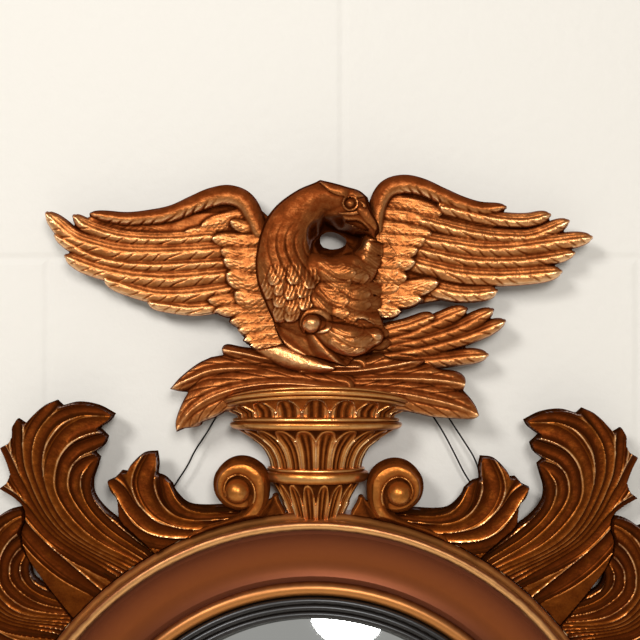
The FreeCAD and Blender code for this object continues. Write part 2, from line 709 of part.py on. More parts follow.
def make_wire():
    """A short end at the left eye, a taut run over the hook, a turn at the right eye and a loose end."""
    bend = eye_wire + wire_radius + hole_play
    over = hook_radius + wire_radius
    hook = wire_level((hook_x, hook_z))
    left, right = wire_level(left_eye), wire_level(right_eye)
    left_run, right_run = towards(left, hook), towards(right, hook)
    left_top = left + left_run * eye_radius
    right_top = right + right_run * eye_radius
    left_out = touching_normal(left_top, hook, bend, over, right_of(left_run) * -1)
    right_out = touching_normal(right_top, hook, -bend, over, right_of(right_run))
    left_pull = right_of(left_out)
    right_pull = right_of(right_out) * -1
    corner = wire_level(tail_corner)
    tail_out = touching_normal(right_top, corner, bend, 0, right_of(towards(right_top, corner)))
    tail_run = right_of(tail_out) * -1
    left_in = left_top - left_out * bend
    left_up = left_top + left_out * bend
    right_in = right_top - right_out * bend
    tail_up = right_top + tail_out * bend
    crest = (left_out + right_out).normalize()
    under = (right_pull + tail_run).normalize()
    edges = [Part.makeLine(left_in + left_pull * short_end, left_in)]
    edges.append(Part.Arc(left_in, left_top - left_pull * bend, left_up).toShape())
    edges.append(Part.makeLine(left_up, hook + left_out * over))
    edges.append(Part.Arc(hook + left_out * over, hook + crest * over, hook + right_out * over).toShape())
    edges.append(Part.makeLine(hook + right_out * over, right_in))
    edges.append(Part.Arc(right_in, right_top - under * bend, tail_up).toShape())
    edges += bent(tail_up, corner, wire_level(tail_end), tail_bend)
    path = Part.Wire(edges)
    start = left_in + left_pull * short_end
    ring = Part.Wire(Part.makeCircle(wire_radius, start, left_pull))
    return path.makePipeShell([ring], True, False), path.Length


# Build, bore for the fasteners, and write one file per piece
def bored(shape, tools):
    return one_solid(shape.cut(Part.makeCompound(tools)))


def build():
    pieces = {}
    pieces["reeded_slip"] = make_slip()
    glass, glass_rear = make_glass()
    pieces["mirror_glass"] = glass
    pieces["glass_cushion"] = make_cushion(glass_rear)
    pieces["glass_blocks"] = make_blocks()
    pieces["backboard"] = make_backboard()
    angles = [button_first_angle + 360 / button_count * i for i in range(button_count)]
    for i, angle in enumerate(angles):
        pieces["turn_button_%d" % (i + 1)] = make_button(angle)
    pieces["turn_button_screws"] = Part.makeCompound([button_screw(a) for a in angles])

    urn = make_urn()
    eagle = make_eagle()
    left_wing = make_wing(left_wing_rows, -1)
    right_wing = make_wing(right_wing_rows, 1)
    tail = make_tail()
    plinth = make_plinth([urn, eagle, left_wing, right_wing, tail])
    volute = make_volute()
    inner = make_inner_leaf(volute)
    outer = make_outer_leaf()
    side = make_side_leaf()
    apron = make_apron()
    apron_leaf = make_apron_leaf(apron)
    carvings = {"urn": urn, "eagle_body": eagle, "left_wing": left_wing, "right_wing": right_wing}
    carvings.update({"eagle_tail": tail, "leaf_plinth": plinth})
    carvings.update({"left_volute": volute, "left_inner_leaf": inner, "left_outer_leaf": outer})
    carvings.update({"left_side_leaf": side, "left_apron_leaf": apron_leaf, "apron_palmette": apron})
    carvings["right_volute"] = turned(mirrored(volute), right_side_turn)
    carvings["right_inner_leaf"] = turned(mirrored(inner), right_side_turn)
    carvings["right_outer_leaf"] = turned(mirrored(outer), right_side_turn)
    carvings["right_side_leaf"] = turned(mirrored(side), right_side_turn)
    carvings["right_apron_leaf"] = mirrored(apron_leaf)
    carvings["left_volute"] = let_in(volute)

    root_bores = [root_dowel(x, z, hole_play) for x, z in root_dowel_places]
    back_bores = [batten_screw(x, z, hole_play) for x, z in batten_screw_places]
    for name in ("eagle_body", "left_wing", "right_wing", "eagle_tail"):
        carvings[name] = bored(carvings[name], root_bores)
    for name in ("urn", "leaf_plinth", "eagle_body"):
        carvings[name] = bored(carvings[name], back_bores)
    ring_bores = [screw_bores(a) for a in angles] + back_bores
    dowels = []
    for name, places in leaf_dowel_angles.items():
        tools = [leaf_dowel(a, hole_play) for a in places]
        dowels += [leaf_dowel(a) for a in places]
        ring_bores += tools
        carvings[name] = bored(carvings[name], tools)
    carvings["left_inner_leaf"] = bored(carvings["left_inner_leaf"], [eye_bore(left_eye)])
    carvings["right_inner_leaf"] = bored(carvings["right_inner_leaf"], [eye_bore(right_eye)])

    pieces["frame_ring"] = bored(make_ring(), ring_bores)
    pieces.update(carvings)
    pieces["crest_batten"] = bored(make_batten(), back_bores)
    pieces["batten_screws"] = Part.makeCompound([batten_screw(x, z) for x, z in batten_screw_places])
    pieces["root_dowels"] = Part.makeCompound([root_dowel(x, z) for x, z in root_dowel_places])
    pieces["leaf_dowels"] = Part.makeCompound(dowels)
    pieces["left_screw_eye"] = make_eye(left_eye)
    pieces["right_screw_eye"] = make_eye(right_eye)
    wire, wire_length = make_wire()
    pieces["hanging_wire"] = wire
    print("wire length %.1f mm" % wire_length)
    return pieces


os.makedirs("parts", exist_ok=True)
for node, shape in build().items():
    shape.exportStep("parts/%s.step" % node)
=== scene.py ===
# %% [markdown]
# # A convex mirror with a carved eagle crest
# A round convex glass sits in a turned, gilded ring. Above it an urn carries a bed of leaves and an
# eagle with spread wings, and acanthus leaves spring from the ring on both sides.
# The measured model is loaded first. Plain pieces keep its solids, and each carving is replaced by a
# relief with the feathers, gouges and ridges that a carver adds.

# %% the measured model
import math
import bpy
import numpy as np
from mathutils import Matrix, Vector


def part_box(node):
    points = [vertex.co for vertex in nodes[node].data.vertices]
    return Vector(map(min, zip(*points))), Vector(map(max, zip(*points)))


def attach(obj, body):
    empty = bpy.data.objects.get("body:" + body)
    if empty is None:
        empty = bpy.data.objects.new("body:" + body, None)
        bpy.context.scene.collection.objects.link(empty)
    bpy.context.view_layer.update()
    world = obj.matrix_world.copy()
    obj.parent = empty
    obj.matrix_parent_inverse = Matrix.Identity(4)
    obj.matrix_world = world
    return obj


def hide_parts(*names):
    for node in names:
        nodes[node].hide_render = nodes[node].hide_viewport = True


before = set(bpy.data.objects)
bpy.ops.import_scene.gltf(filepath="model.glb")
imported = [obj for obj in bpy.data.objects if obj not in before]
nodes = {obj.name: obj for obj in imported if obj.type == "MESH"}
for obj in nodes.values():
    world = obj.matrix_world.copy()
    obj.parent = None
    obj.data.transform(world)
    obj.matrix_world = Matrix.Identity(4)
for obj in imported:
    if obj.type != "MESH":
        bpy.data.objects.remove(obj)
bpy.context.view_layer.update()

MM = 0.001
carving_back = -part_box("left_wing")[1][1] / MM
ring_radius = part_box("frame_ring")[1][0] / MM
print("flat backs stand", round(carving_back, 2), "mm off the wall; ring radius", round(ring_radius, 1))

# %% [markdown]
# ## Colour and nodes
# Colours are written as sRGB hex values, as a colour picker shows them, and shaders want linear
# light. One function does the conversion. A second one adds a node with its settings and its links,
# so that each material below reads as a short list of what feeds what.


# %% colour and node helpers
def linear(hex_colour):
    """Linear RGBA from an sRGB hex value, by the standard's two-part curve."""
    c = np.array([int(hex_colour[i:i + 2], 16) for i in (1, 3, 5)]) / 255
    c = np.where(c <= 0.04045, c / 12.92, ((c + 0.055) / 1.055) ** 2.4)
    return (*c.tolist(), 1.0)


def add(material, kind, inputs=None, **settings):
    """A shader node with its settings. An input is a value, an output socket or a node's first output."""
    node = material.node_tree.nodes.new("ShaderNode" + kind)
    for name, value in settings.items():
        setattr(node, name, value)
    for name, value in (inputs or {}).items():
        if isinstance(value, bpy.types.Node):
            value = value.outputs[0]
        if isinstance(value, bpy.types.NodeSocket):
            material.node_tree.links.new(value, node.inputs[name])
        else:
            node.inputs[name].default_value = value
    return node


def noise(material, place, size, detail):
    """Noise with features about size millimetres wide."""
    return add(material, "TexNoise", {"Vector": place, "Scale": 1 / (size * MM), "Detail": detail})


def new_material(name):
    material = bpy.data.materials.new(name)
    material.use_nodes = True
    material.node_tree.nodes.clear()
    return material


def finish_surface(material, shader):
    add(material, "OutputMaterial", {"Surface": shader})
    return material


def set_ramp(node, stops):
    """Colour stops of a ramp, given as (position, hex)."""
    ramp = node.color_ramp
    while len(ramp.elements) < len(stops):
        ramp.elements.new(0.5)
    for element, (place, colour) in zip(ramp.elements, stops):
        element.position = place
        element.color = linear(colour)


# %% [markdown]
# ## Gilding
# The carvings are gilded in a coppery gold over red-brown and then glazed with umber, which is wiped
# off the high parts. So the colour follows the relief: each carving carries an attribute that is high
# on ridges and low in hollows, and a ramp turns it into umber, brown, copper and gold. The same
# attribute also carries painted shade: on slopes that face up, on steep sides, on the upper side of the
# wings' rolls, in the opening under the eagle's neck and in the corners beside the urn. Hollows hold
# the matt glaze, so they are rougher as well as darker. A fine bump stands for the marks of the tool.


# %% gilded finishes
def gilding(name, stops, gloss, tooling):
    """Bronze-toned gilding on composition: a metal film under a glaze that stays in the hollows.

    The glaze mottles in patches of about 7 mm, with a finer grain of about 1.2 mm. The tool left marks
    about 2.4 mm wide, tooling millimetres deep.
    """
    material = new_material(name)
    place = add(material, "TexCoord").outputs["Object"]
    patches, grain, marks = (noise(material, place, *n) for n in ((7, 3.0), (1.2, 1.0), (2.4, 2.0)))
    gilt_and_shade = add(material, "Attribute", attribute_name="gilt_and_shade").outputs["Fac"]
    patch_part, grain_part, glaze_rough, metal = 0.34, 0.12, 0.26, 0.95
    mottled = add(material, "Math", {0: patches, 1: patch_part, 2: gilt_and_shade}, operation="MULTIPLY_ADD")
    worn = add(material, "Math", {0: grain, 1: grain_part, 2: mottled}, operation="MULTIPLY_ADD")
    level = add(material, "Math", {0: worn, 1: (patch_part + grain_part) / 2}, operation="SUBTRACT")
    colour = add(material, "ValToRGB", {"Fac": level})
    set_ramp(colour, stops)
    rough = add(material, "MapRange", {"Value": level, "To Min": gloss + glaze_rough, "To Max": gloss})
    bare = add(material, "MapRange", {
        "Value": level, "From Min": 0.12, "From Max": 0.4, "To Min": 0.0, "To Max": metal})
    worked = add(material, "Bump", {"Height": marks, "Distance": tooling * MM})
    shader = add(material, "BsdfPrincipled", {
        "Base Color": colour, "Metallic": bare, "Roughness": rough, "Specular IOR Level": 0.0,
        "Normal": worked})
    return finish_surface(material, shader)


bird_gilding = gilding("bird_gilding", [
    (0.0, "#331203"), (0.26, "#6d3212"), (0.50, "#a66332"), (0.76, "#d59660"), (1.0, "#f5c592")],
    gloss=0.28, tooling=0.45)
leaf_gilding = gilding("leaf_gilding", [
    (0.0, "#261003"), (0.36, "#4e2007"), (0.64, "#7c3f12"), (0.85, "#c27b3e"), (1.0, "#f2bf88")],
    gloss=0.28, tooling=0.2)
urn_gilding = gilding("urn_gilding", [
    (0.0, "#3e1a06"), (0.26, "#824015"), (0.50, "#ba7334"), (0.76, "#e0a362"), (1.0, "#f6cc98")],
    gloss=0.22, tooling=0.2)

# %% [markdown]
# ## Reliefs
# A flat-backed carving is a height over a plane. Each feather or lobe is one stroke: a smooth path,
# a half-width along it and a cross-section. For every point of a fine grid the nearest place on the
# path gives how far along and how far across the stroke it lies, and the cross-section gives a
# height there. The carving is the highest of its strokes, with drafted sides between them.


# %% paths
def smooth_path(points, steps=14):
    """Catmull-Rom curve: between two points a cubic whose slope at each is half its neighbours' gap."""
    p = np.array(points, float)
    ends = np.vstack([2 * p[0] - p[1], p, 2 * p[-1] - p[-2]])
    a, b, c, d = (ends[i:len(ends) - 3 + i, None] for i in range(4))
    t = np.linspace(0, 1, steps, endpoint=False)[None, :, None]
    bend, twist = 2 * a - 5 * b + 4 * c - d, 3 * b - a - 3 * c + d
    curve = 0.5 * (2 * b + (c - a) * t + bend * t ** 2 + twist * t ** 3)
    return np.vstack([curve.reshape(-1, 2), p[-1:]])


def along_path(x, z, path):
    """Nearest place on a path for each point: run along it, signed offset to its left, whole length."""
    start, step = path[:-1], np.diff(path, axis=0)
    length = np.hypot(step[:, 0], step[:, 1])
    run = np.concatenate([[0], np.cumsum(length)])
    gap_x, gap_z = x[..., None] - start[:, 0], z[..., None] - start[:, 1]
    share = np.clip((gap_x * step[:, 0] + gap_z * step[:, 1]) / length ** 2, 0, 1)
    gap_x, gap_z = gap_x - share * step[:, 0], gap_z - share * step[:, 1]
    away = np.hypot(gap_x, gap_z)
    k = away.argmin(-1)
    pick = k[..., None]
    near_x, near_z, near, part = (
        np.take_along_axis(a, pick, -1)[..., 0] for a in (gap_x, gap_z, away, share))
    side = np.where(step[k, 0] * near_z - step[k, 1] * near_x >= 0, 1.0, -1.0)
    return run[k] + part * length[k], side * near, run[-1]


def spread(values, share):
    """Values read evenly along a stroke, through the same kind of curve as its path."""
    values = np.atleast_1d(np.asarray(values, float))
    if len(values) < 3:
        return np.interp(share, np.linspace(0, 1, len(values)), values) + 0 * share
    ends = np.concatenate([values[:1], values, values[-1:]])
    at = np.clip(np.asarray(share, float), 0, 1) * (len(values) - 1)
    k = np.minimum(at.astype(int), len(values) - 2)
    t = at - k
    a, b, c, d = (ends[k + n] for n in range(4))
    return b + 0.5 * t * (c - a + t * (2 * a - 5 * b + 4 * c - d + t * (3 * (b - c) + d - a)))


# %% cross-sections
def arched(rise):
    """Half-ellipse across the stroke, rise high in the middle."""
    return lambda run, share, s, w: rise * np.sqrt(np.clip(1 - s * s, 0, 1))


def bump(distance, size):
    """A bell of height 1 and half-width size."""
    return np.exp(-(distance / size) ** 2)


def nicks(run, s, w, pitch, size):
    """Slanting nicks along a stroke, at an uneven spacing round pitch."""
    phase = (run - 1.5 * w * s) / pitch + 0.24 * np.sin(run / 8.3) + 0.12 * np.sin(run / 3.7 + 1)
    return bump(((phase % 1) - 0.5) * pitch, size)


def quill(run, share, s, w):
    """Long feather: a smooth band with a swelling lower half, cut by slanting nicks at the lower edge."""
    swell = 1.1 * (1 - s * s) + 0.8 * bump(s - 0.3, 0.55)
    groove = 0.4 * bump((s + 0.3) * w, 0.5) + 0.25 * bump((s + 0.7) * w, 0.45)
    return swell - groove - 0.9 * nicks(run, s, w, 10.5, 0.9) * np.clip(s * 2.5 - 0.1, 0, 1)


def covert(run, share, s, w):
    """Short feather: flat and round-ended, lifted at its tip, with fine wavering lines along it."""
    crown = 0.8 * (1 - s * s) + 1.1 * share
    waver = s * w / 3.1 + 0.5 * np.sin(run / 5 + 3 * s)
    lines = 0.13 * np.cos(2 * np.pi * waver) * np.clip((1 - share) * 5, 0, 1)
    return crown + lines - 0.35 * nicks(run, s, w, 4.6, 0.6) * np.clip(s * 2 + 0.4, 0, 1)


def roll(run, share, s, w):
    """Leading edge of a wing: a plump roll with slanting nicks along its lower side."""
    nick = nicks(run, s, w, 8.5, 1.1) * np.clip(s * 2.2 - 0.5, 0, 1) * np.clip((share - 0.3) * 8, 0, 1)
    return 4.2 * np.sqrt(np.clip(1 - s * s, 0, 1)) - 1.5 * nick


def gouge(depth):
    """Palmette lobe: a broad hollow between two thin ridges, closing to one ridge at the tip."""
    def shape(run, share, s, w):
        hollow = -depth * np.clip(1 - (s / 0.78) ** 2, 0, 1) * np.clip((1 - share) * 6, 0, 1)
        ridges = 0.9 * bump((np.abs(s) - 0.8) * w, 0.62)
        outer = -1.4 * np.clip((np.abs(s) - 0.86) / 0.14, 0, 1)
        return hollow + ridges + outer
    return shape


def fluted(count, depth, crown):
    """A low crown cut by count long grooves."""
    def shape(run, share, s, w):
        wave = 0.5 - 0.5 * np.cos(np.pi * count * (s + 0.12 * np.sin(run / 14)))
        return crown * (1 - s * s) - depth * wave * np.clip(w / 6, 0.25, 1)
    return shape


def veined(crown, pitch=15):
    """A flowing leaf: a low crown with a raised midrib, two long grooves and slanting side veins."""
    def shape(run, share, s, w):
        rib = 0.8 * bump(s * w, 0.8) - 0.8 * bump((np.abs(s) - 0.34) * w, 1.0)
        phase = ((run - 3.0 * w * np.abs(s)) / pitch) % 1
        veins = 0.7 * bump((phase - 0.5) * pitch, 1.1) * np.clip(np.abs(s) * 4 - 1, 0, 1)
        return crown * (1 - s * s) + (rib - veins) * np.clip((1 - share) * 6, 0, 1)
    return shape


# %% strokes and fields
def stroke(points, widths, heights, shape, tip=0.75, point=2.0, skirt=0.9, slope=3.0, flip=1):
    """One carved stroke. From the share tip on, its width falls as (1 - u^point)^(1/2) to nothing.

    skirt is how far its drafted side reaches, slope its steepness, flip which side counts as lower.
    """
    return {
        "path": smooth_path(points), "widths": widths, "heights": np.atleast_1d(heights), "shape": shape,
        "tip": tip, "point": point, "skirt": skirt, "slope": slope, "flip": flip,
    }


def half_width(row, share):
    """Half-width of a stroke at each share of its length, with the tip's rounding."""
    u = np.clip((share - row["tip"]) / (1.001 - row["tip"]), 0, 1) * (row["tip"] < 1)
    return spread(row["widths"], share) * np.sqrt(np.clip(1 - u ** row["point"], 0, 1)) + 1e-3


def read_stroke(row, x, z):
    """Height and inside distance of one stroke at every point."""
    run, offset, length = along_path(x, z, row["path"])
    share = run / length
    half = half_width(row, share)
    s = np.clip(offset / half, -1, 1) * row["flip"]
    return spread(row["heights"], share) + row["shape"](run, share, s, half), half - np.abs(offset)


def blurred(field, cells):
    """Running mean over a square of cells, twice, which comes close to a bell-shaped blur."""
    n = max(1, int(round(cells)))
    for axis in (0, 1, 0, 1):
        padded = np.pad(field, [(n + 1, n) if a == axis else (0, 0) for a in (0, 1)], mode="edge")
        total = np.cumsum(padded, axis=axis)
        size = 2 * n + 1
        upper = np.take(total, range(size, total.shape[axis]), axis=axis)
        lower = np.take(total, range(0, total.shape[axis] - size), axis=axis)
        field = (upper - lower) / size
    return field


def grid(low, high, step):
    """Both axes of a square grid and the coordinates of its points."""
    x, z = np.arange(low[0], high[0], step), np.arange(low[1], high[1], step)
    return x, z, *np.meshgrid(x, z, indexing="ij")


def window(row, x, z, margin):
    """Slices of the grid that a stroke can reach."""
    reach = max(row["widths"]) + margin
    low, high = row["path"].min(0) - reach, row["path"].max(0) + reach
    return (slice(*np.searchsorted(x, [low[0], high[0]])), slice(*np.searchsorted(z, [low[1], high[1]])))


def painted(height, rows, x, z, gx, gz):
    """Strokes laid over a surface in order: each lifts it by its own height where it lies."""
    lifted = np.zeros(gx.shape)
    for row in rows:
        part = window(row, x, z, 1)
        top, inside = read_stroke(row, gx[part], gz[part])
        lifted[part] = np.where(inside > 0, top, lifted[part])
    return height + lifted


def relief_field(rows, step, limit=None, scales=()):
    """Grid, height and outline distance of a carving: the highest of its strokes at each point."""
    reach = [max(r["widths"]) + r["skirt"] + 2 for r in rows]
    low = np.min([r["path"].min(0) - d for r, d in zip(rows, reach)], axis=0)
    high = np.max([r["path"].max(0) + d for r, d in zip(rows, reach)], axis=0)
    x, z, gx, gz = grid(low, high, step)
    below_all = -30.0
    height, outline = np.full(gx.shape, below_all), np.full(gx.shape, below_all)
    for row in rows:
        part = window(row, x, z, 12)
        top, inside = read_stroke(row, gx[part], gz[part])
        lift = top - row["slope"] * np.maximum(0, -inside)
        height[part] = np.maximum(height[part], lift)
        outline[part] = np.maximum(outline[part], inside + row["skirt"])
    height = painted(height, scales, x, z, gx, gz) + uneven(gx.shape, step, 0.08)
    if limit is not None:
        outline = np.minimum(outline, limit(gx, gz))
    return gx, gz, height, outline


def roll_shade_and_dark_gaps(field, row):
    """Painted shade and glaze on the upper side of a wing's roll, fading across its middle, and darker gaps
    below 8 mm.
    """
    run, offset, length = along_path(field[0], field[1], row["path"])
    half = half_width(row, run / length)
    upper = 0.6 * np.clip(0.7 - 1.2 * offset / half * row["flip"], 0, 1) * (np.abs(offset) < half + 1)
    return np.maximum(upper, 0.5 * np.clip((8.0 - field[2]) / 2.5, 0, 1))


def uneven(shape, step, size):
    """The slight waviness of hand-worked ground: blurred random steps of the given size, at two widths."""
    draw = np.random.default_rng(7).standard_normal(shape)
    layers = [blurred(draw, width / step) for width in (1.6, 4.5)]
    return sum(size * layer / layer.std() for layer in layers)


def gilt_and_shade_level(height, step, base):
    """Where gilding shows: height above its blurred self, less by dust and painted shade on slopes that face
    up.
    """
    ground = np.maximum(height, 0)
    fine = ground - blurred(ground, 1.0 / step)
    broad = ground - blurred(ground, 4.0 / step)
    upward_dust_and_shade = np.clip(-np.gradient(blurred(ground, 0.6 / step), step, axis=1), 0, 1)
    return np.clip(base + 0.56 * fine + 0.09 * broad, 0, 1) * (1 - 0.6 * upward_dust_and_shade)


# %% outlines and gouged leaves
def closed_outline(runs):
    """An outline of smooth runs that meet at tips and notches; each starts where the last one ended."""
    starts = [runs[-1][-1]] + [run[-1] for run in runs[:-1]]
    bends = [smooth_path([start] + run, 5)[:-1] for start, run in zip(starts, runs)]
    return np.vstack(bends + [bends[0][:1]])


def inside_outline(x, z, outline):
    """Signed distance to a closed outline; inside, a line from the point crosses an odd number of sides."""
    away = np.abs(along_path(x, z, outline)[1])
    a, b = outline[:-1], outline[1:]
    rise = np.where(a[:, 1] == b[:, 1], 1e-9, b[:, 1] - a[:, 1])
    crosses = (a[:, 1] > z[..., None]) != (b[:, 1] > z[..., None])
    at = a[:, 0] + (z[..., None] - a[:, 1]) * (b[:, 0] - a[:, 0]) / rise
    odd = (crosses & (x[..., None] < at)).sum(-1) % 2 == 1
    return np.where(odd, away, -away)


def leaf_field(hollows, outline, step, depth, limit):
    """A leaf of gouged hollows: it sinks by depth along each path and rises to a ridge between two.

    The nearest hollow is the one with the least offset over half-width; the cube of that share gives
    its round bottom, and a thin second line runs beside each ridge.
    """
    gx, gz = grid(outline.min(0) - 2, outline.max(0) + 2, step)[2:]
    shares, levels = [], []
    for row in hollows:
        run, offset, length = along_path(gx, gz, row["path"])
        shares.append(offset / (spread(row["widths"], run / length) + 1e-3))
        levels.append(spread(row["heights"], run / length))
    shares, levels = np.array(shares), np.array(levels)
    weight = 1 / (np.abs(shares) + 0.12) ** 9
    level = (weight * levels).sum(0) / weight.sum(0)
    nearest = np.abs(shares).argmin(0)[None]
    share = np.take_along_axis(shares, nearest, 0)[0]
    height = level - depth * (1 - np.clip(np.abs(share), 0, 1) ** 3)
    height += depth * (0.16 * bump(np.abs(share) - 1, 0.11) + 0.16 * bump(share - 0.62, 0.07))
    height += uneven(gx.shape, step, 0.03)
    return gx, gz, height, np.minimum(inside_outline(gx, gz, outline), limit(gx, gz))


# %% [markdown]
# ## From a field to a mesh
# The grid cells that lie on the carving become its front. Points just outside the outline are pulled
# on to it along the field's own slope, so the edge is smooth although the grid is square. The same
# cells at the back plane close the piece, and a strip round the outline joins the two.


# %% mesh helpers
bare_wood = 0.02


def make_piece(name, points, faces, gilt_and_shade, material, node):
    """A named mesh in the frame's own place, riding on the frame and standing for its measured node."""
    mesh = bpy.data.meshes.new(name)
    mesh.vertices.add(len(points))
    mesh.vertices.foreach_set("co", (points * MM).ravel())
    mesh.loops.add(faces.size)
    mesh.loops.foreach_set("vertex_index", faces.ravel())
    mesh.polygons.add(len(faces))
    mesh.polygons.foreach_set("loop_start", np.arange(0, faces.size, faces.shape[1]))
    mesh.update(calc_edges=True)
    mesh.validate()
    mesh.attributes.new("gilt_and_shade", "FLOAT", "POINT").data.foreach_set("value", gilt_and_shade)
    mesh.shade_smooth()
    mesh.set_sharp_from_angle(angle=math.radians(62))
    mesh.materials.append(material)
    piece = bpy.data.objects.new(name, mesh)
    bpy.context.scene.collection.objects.link(piece)
    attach(piece, "frame")
    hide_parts(node)
    print(name, len(mesh.polygons), "faces")


def relief_mesh(field, step, base, foot=4.0, draft=8.0, glaze_and_shade=0.0, sunk=0.0):
    """Points, faces and gilding level, with painted shade in it, of a closed carving made from its field, in
    millimetres.

    Its side rises from the outline, foot high, by draft for each millimetre inwards; the darkening, 0 to 1,
    is glaze and painted shade laid there, and below 0 it brightens; its back is sunk by a little where
    another back lies over it.
    """
    gx, gz, height, outline = field
    gilt_and_shade = gilt_and_shade_level(height, step, base) * (1 - glaze_and_shade)
    slope_x, slope_z = np.gradient(outline, step)
    steep = np.maximum(slope_x ** 2 + slope_z ** 2, 0.25)
    pull = np.where(outline < 0, -outline, 0) / steep
    pull = np.minimum(pull, 1.2 * step / np.sqrt(steep))
    px, pz = gx + pull * slope_x, gz + pull * slope_z
    side = foot + draft * np.maximum(outline, 0)
    front = np.maximum(np.minimum(height + 3.0 * np.clip(-outline, 0, step), side), 1.0)
    on = outline > 0
    cell = on[:-1, :-1] | on[1:, :-1] | on[:-1, 1:] | on[1:, 1:]
    number = np.arange(gx.size).reshape(gx.shape)
    corners = [number[:-1, :-1], number[1:, :-1], number[1:, 1:], number[:-1, 1:]]
    quads = np.stack([c[cell] for c in corners], axis=1)
    used, quads = np.unique(quads, return_inverse=True)
    quads = quads.reshape(-1, 4)
    count = len(used)
    x, z = px.ravel()[used], pz.ravel()[used]
    face = np.stack([x, -carving_back - front.ravel()[used], z], axis=1)
    rear = np.stack([x, np.full(count, -carving_back - sunk), z], axis=1)
    sides = np.concatenate([np.stack([quads[:, i], quads[:, (i + 1) % 4]], 1) for i in range(4)])
    keys = np.sort(sides, axis=1) @ np.array([count, 1])
    _, first, times = np.unique(keys, return_index=True, return_counts=True)
    rim = sides[first[times == 1]]
    walls = np.stack([rim[:, 1], rim[:, 0], rim[:, 0] + count, rim[:, 1] + count], axis=1)
    back = quads[:, ::-1] + count
    # Steep sides are darkened, as patina and as painted shade.
    sheer = np.clip((height - side) / 3, 0, 1)
    shown = (gilt_and_shade * (1 - 0.9 * sheer)).ravel()[used]
    gilt_and_shade = np.pad(shown, (0, count), constant_values=bare_wood)
    return np.vstack([face, rear]), np.vstack([quads, walls, back]), gilt_and_shade


def make_pair(name, mesh, material, turn):
    """A left-hand piece and its mirror image, which also turns clockwise about the ring's centre."""
    points, faces, gilt_and_shade = mesh
    make_piece("left_%s_carving" % name, points, faces, gilt_and_shade, material, "left_" + name)
    a = math.radians(turn)
    x, y, z = -points[:, 0], points[:, 1], points[:, 2]
    turned = np.stack([x * math.cos(a) + z * math.sin(a), y, z * math.cos(a) - x * math.sin(a)], axis=1)
    make_piece("right_%s_carving" % name, turned, faces[:, ::-1], gilt_and_shade, material, "right_" + name)


# %% [markdown]
# ## Wings
# Each wing has a plump leading roll, long quills that fan out below it, and short feathers over the
# root. The quills overlap, so every stroke is a little lower than the one above it.



# %% wing helpers
wing_step, covert_sink = 0.6, 0.8


def web(points, widths, height):
    """The plain ground that feathers lie on."""
    return stroke(points, widths, height, arched(1.0), tip=0.8)


def make_wing(name, ground, quills, coverts, flip):
    """A wing from its ground, the last stroke of which is the roll, its quills and its short feathers."""
    rows = ground + [stroke(p, w, h, quill, tip=0.86, flip=flip) for p, w, h in quills]
    rows += [stroke(p, w, h - covert_sink, covert, tip=0.6, slope=2.6, flip=flip) for p, w, h in coverts]
    field = relief_field(rows, wing_step)
    # The upper side of the roll is darkened as painted shade and glaze, and the low gaps are darker.
    glaze_and_shade = roll_shade_and_dark_gaps(field, ground[-1])
    mesh = relief_mesh(field, wing_step, base=0.46, foot=5.0, draft=4.0, glaze_and_shade=glaze_and_shade, sunk=0.2)
    make_piece(name + "_carving", *mesh, bird_gilding, name)


# %% left wing
left_quills = [
    ([(-69, 401.5), (-92, 399.4), (-114, 399.4), (-132, 401.5), (-151, 407.6), (-160.8, 414.8)],
     [4.6, 4.6, 4.4], 8.6),
    ([(-62, 392), (-87, 390.6), (-107, 389.9), (-128, 390.6), (-146, 394.7), (-162, 401), (-179, 416.6)],
     [5.6, 6, 5.4], 9.2),
    ([(-60, 384), (-87, 382.4), (-109, 381.7), (-131, 383.7), (-150, 389), (-173.3, 401.9)],
     [4.4, 4.6, 4.2], 8.8),
    ([(-58, 376), (-92, 372.8), (-114, 373.5), (-136, 376.9), (-152, 381.7), (-166.2, 388)],
     [5.4, 5.8, 5.2], 9.0),
    ([(-50, 367.4), (-69, 364), (-90, 361.9), (-111, 363.3), (-140, 372.4)], [5.2, 5.6, 5.0], 8.6),
    ([(-48, 356.5), (-66, 354.4), (-83, 353), (-110.5, 356.8)], [4.4, 4.4, 4.0], 8.2),
]
left_coverts = [
    ([(-24, 398.5), (-46, 397.2), (-67.5, 399.6)], [4.8, 5.4], 10.6),
    ([(-24, 390.6), (-46, 388.5), (-61.8, 391.4)], [5.0, 5.6], 11.2),
    ([(-24, 383), (-46, 381.5), (-59.8, 385.3)], [5.0, 5.8], 11.6),
    ([(-24, 372), (-42, 369.5), (-57.8, 375.8)], [6.0, 7.2], 12.0),
    ([(-24, 360), (-42, 357.8), (-52, 363.5)], [5.2, 6.0], 12.0),
    ([(-38, 361), (-58, 358), (-70, 358.4)], [4.2, 4.6], 10.6),
    ([(-22, 353.5), (-46, 351.2), (-65.2, 351.4)], [4.4, 4.8], 11.2),
    ([(-22, 347), (-43, 344.6), (-55.6, 344.2)], [4.4, 4.8], 11.4),
    ([(-20, 341.5), (-39, 339.4), (-49.6, 338.2)], [4.2, 4.8], 11.6),
    ([(-20, 336), (-36, 333.5), (-46.2, 331.4)], [4.4, 4.8], 11.8),
    ([(-20, 329), (-32, 328), (-42, 328)], [5, 4.8], 12.0),
    ([(-46, 416), (-65, 411), (-75, 407.8)], [4.4, 4.2], 8.6),
    ([(-60, 408), (-76, 404.9), (-86, 404)], [3.2, 3.0], 8.6),
    ([(-32, 406), (-46, 407.2), (-55.5, 411.2)], [4.2, 4.0], 9.6),
]
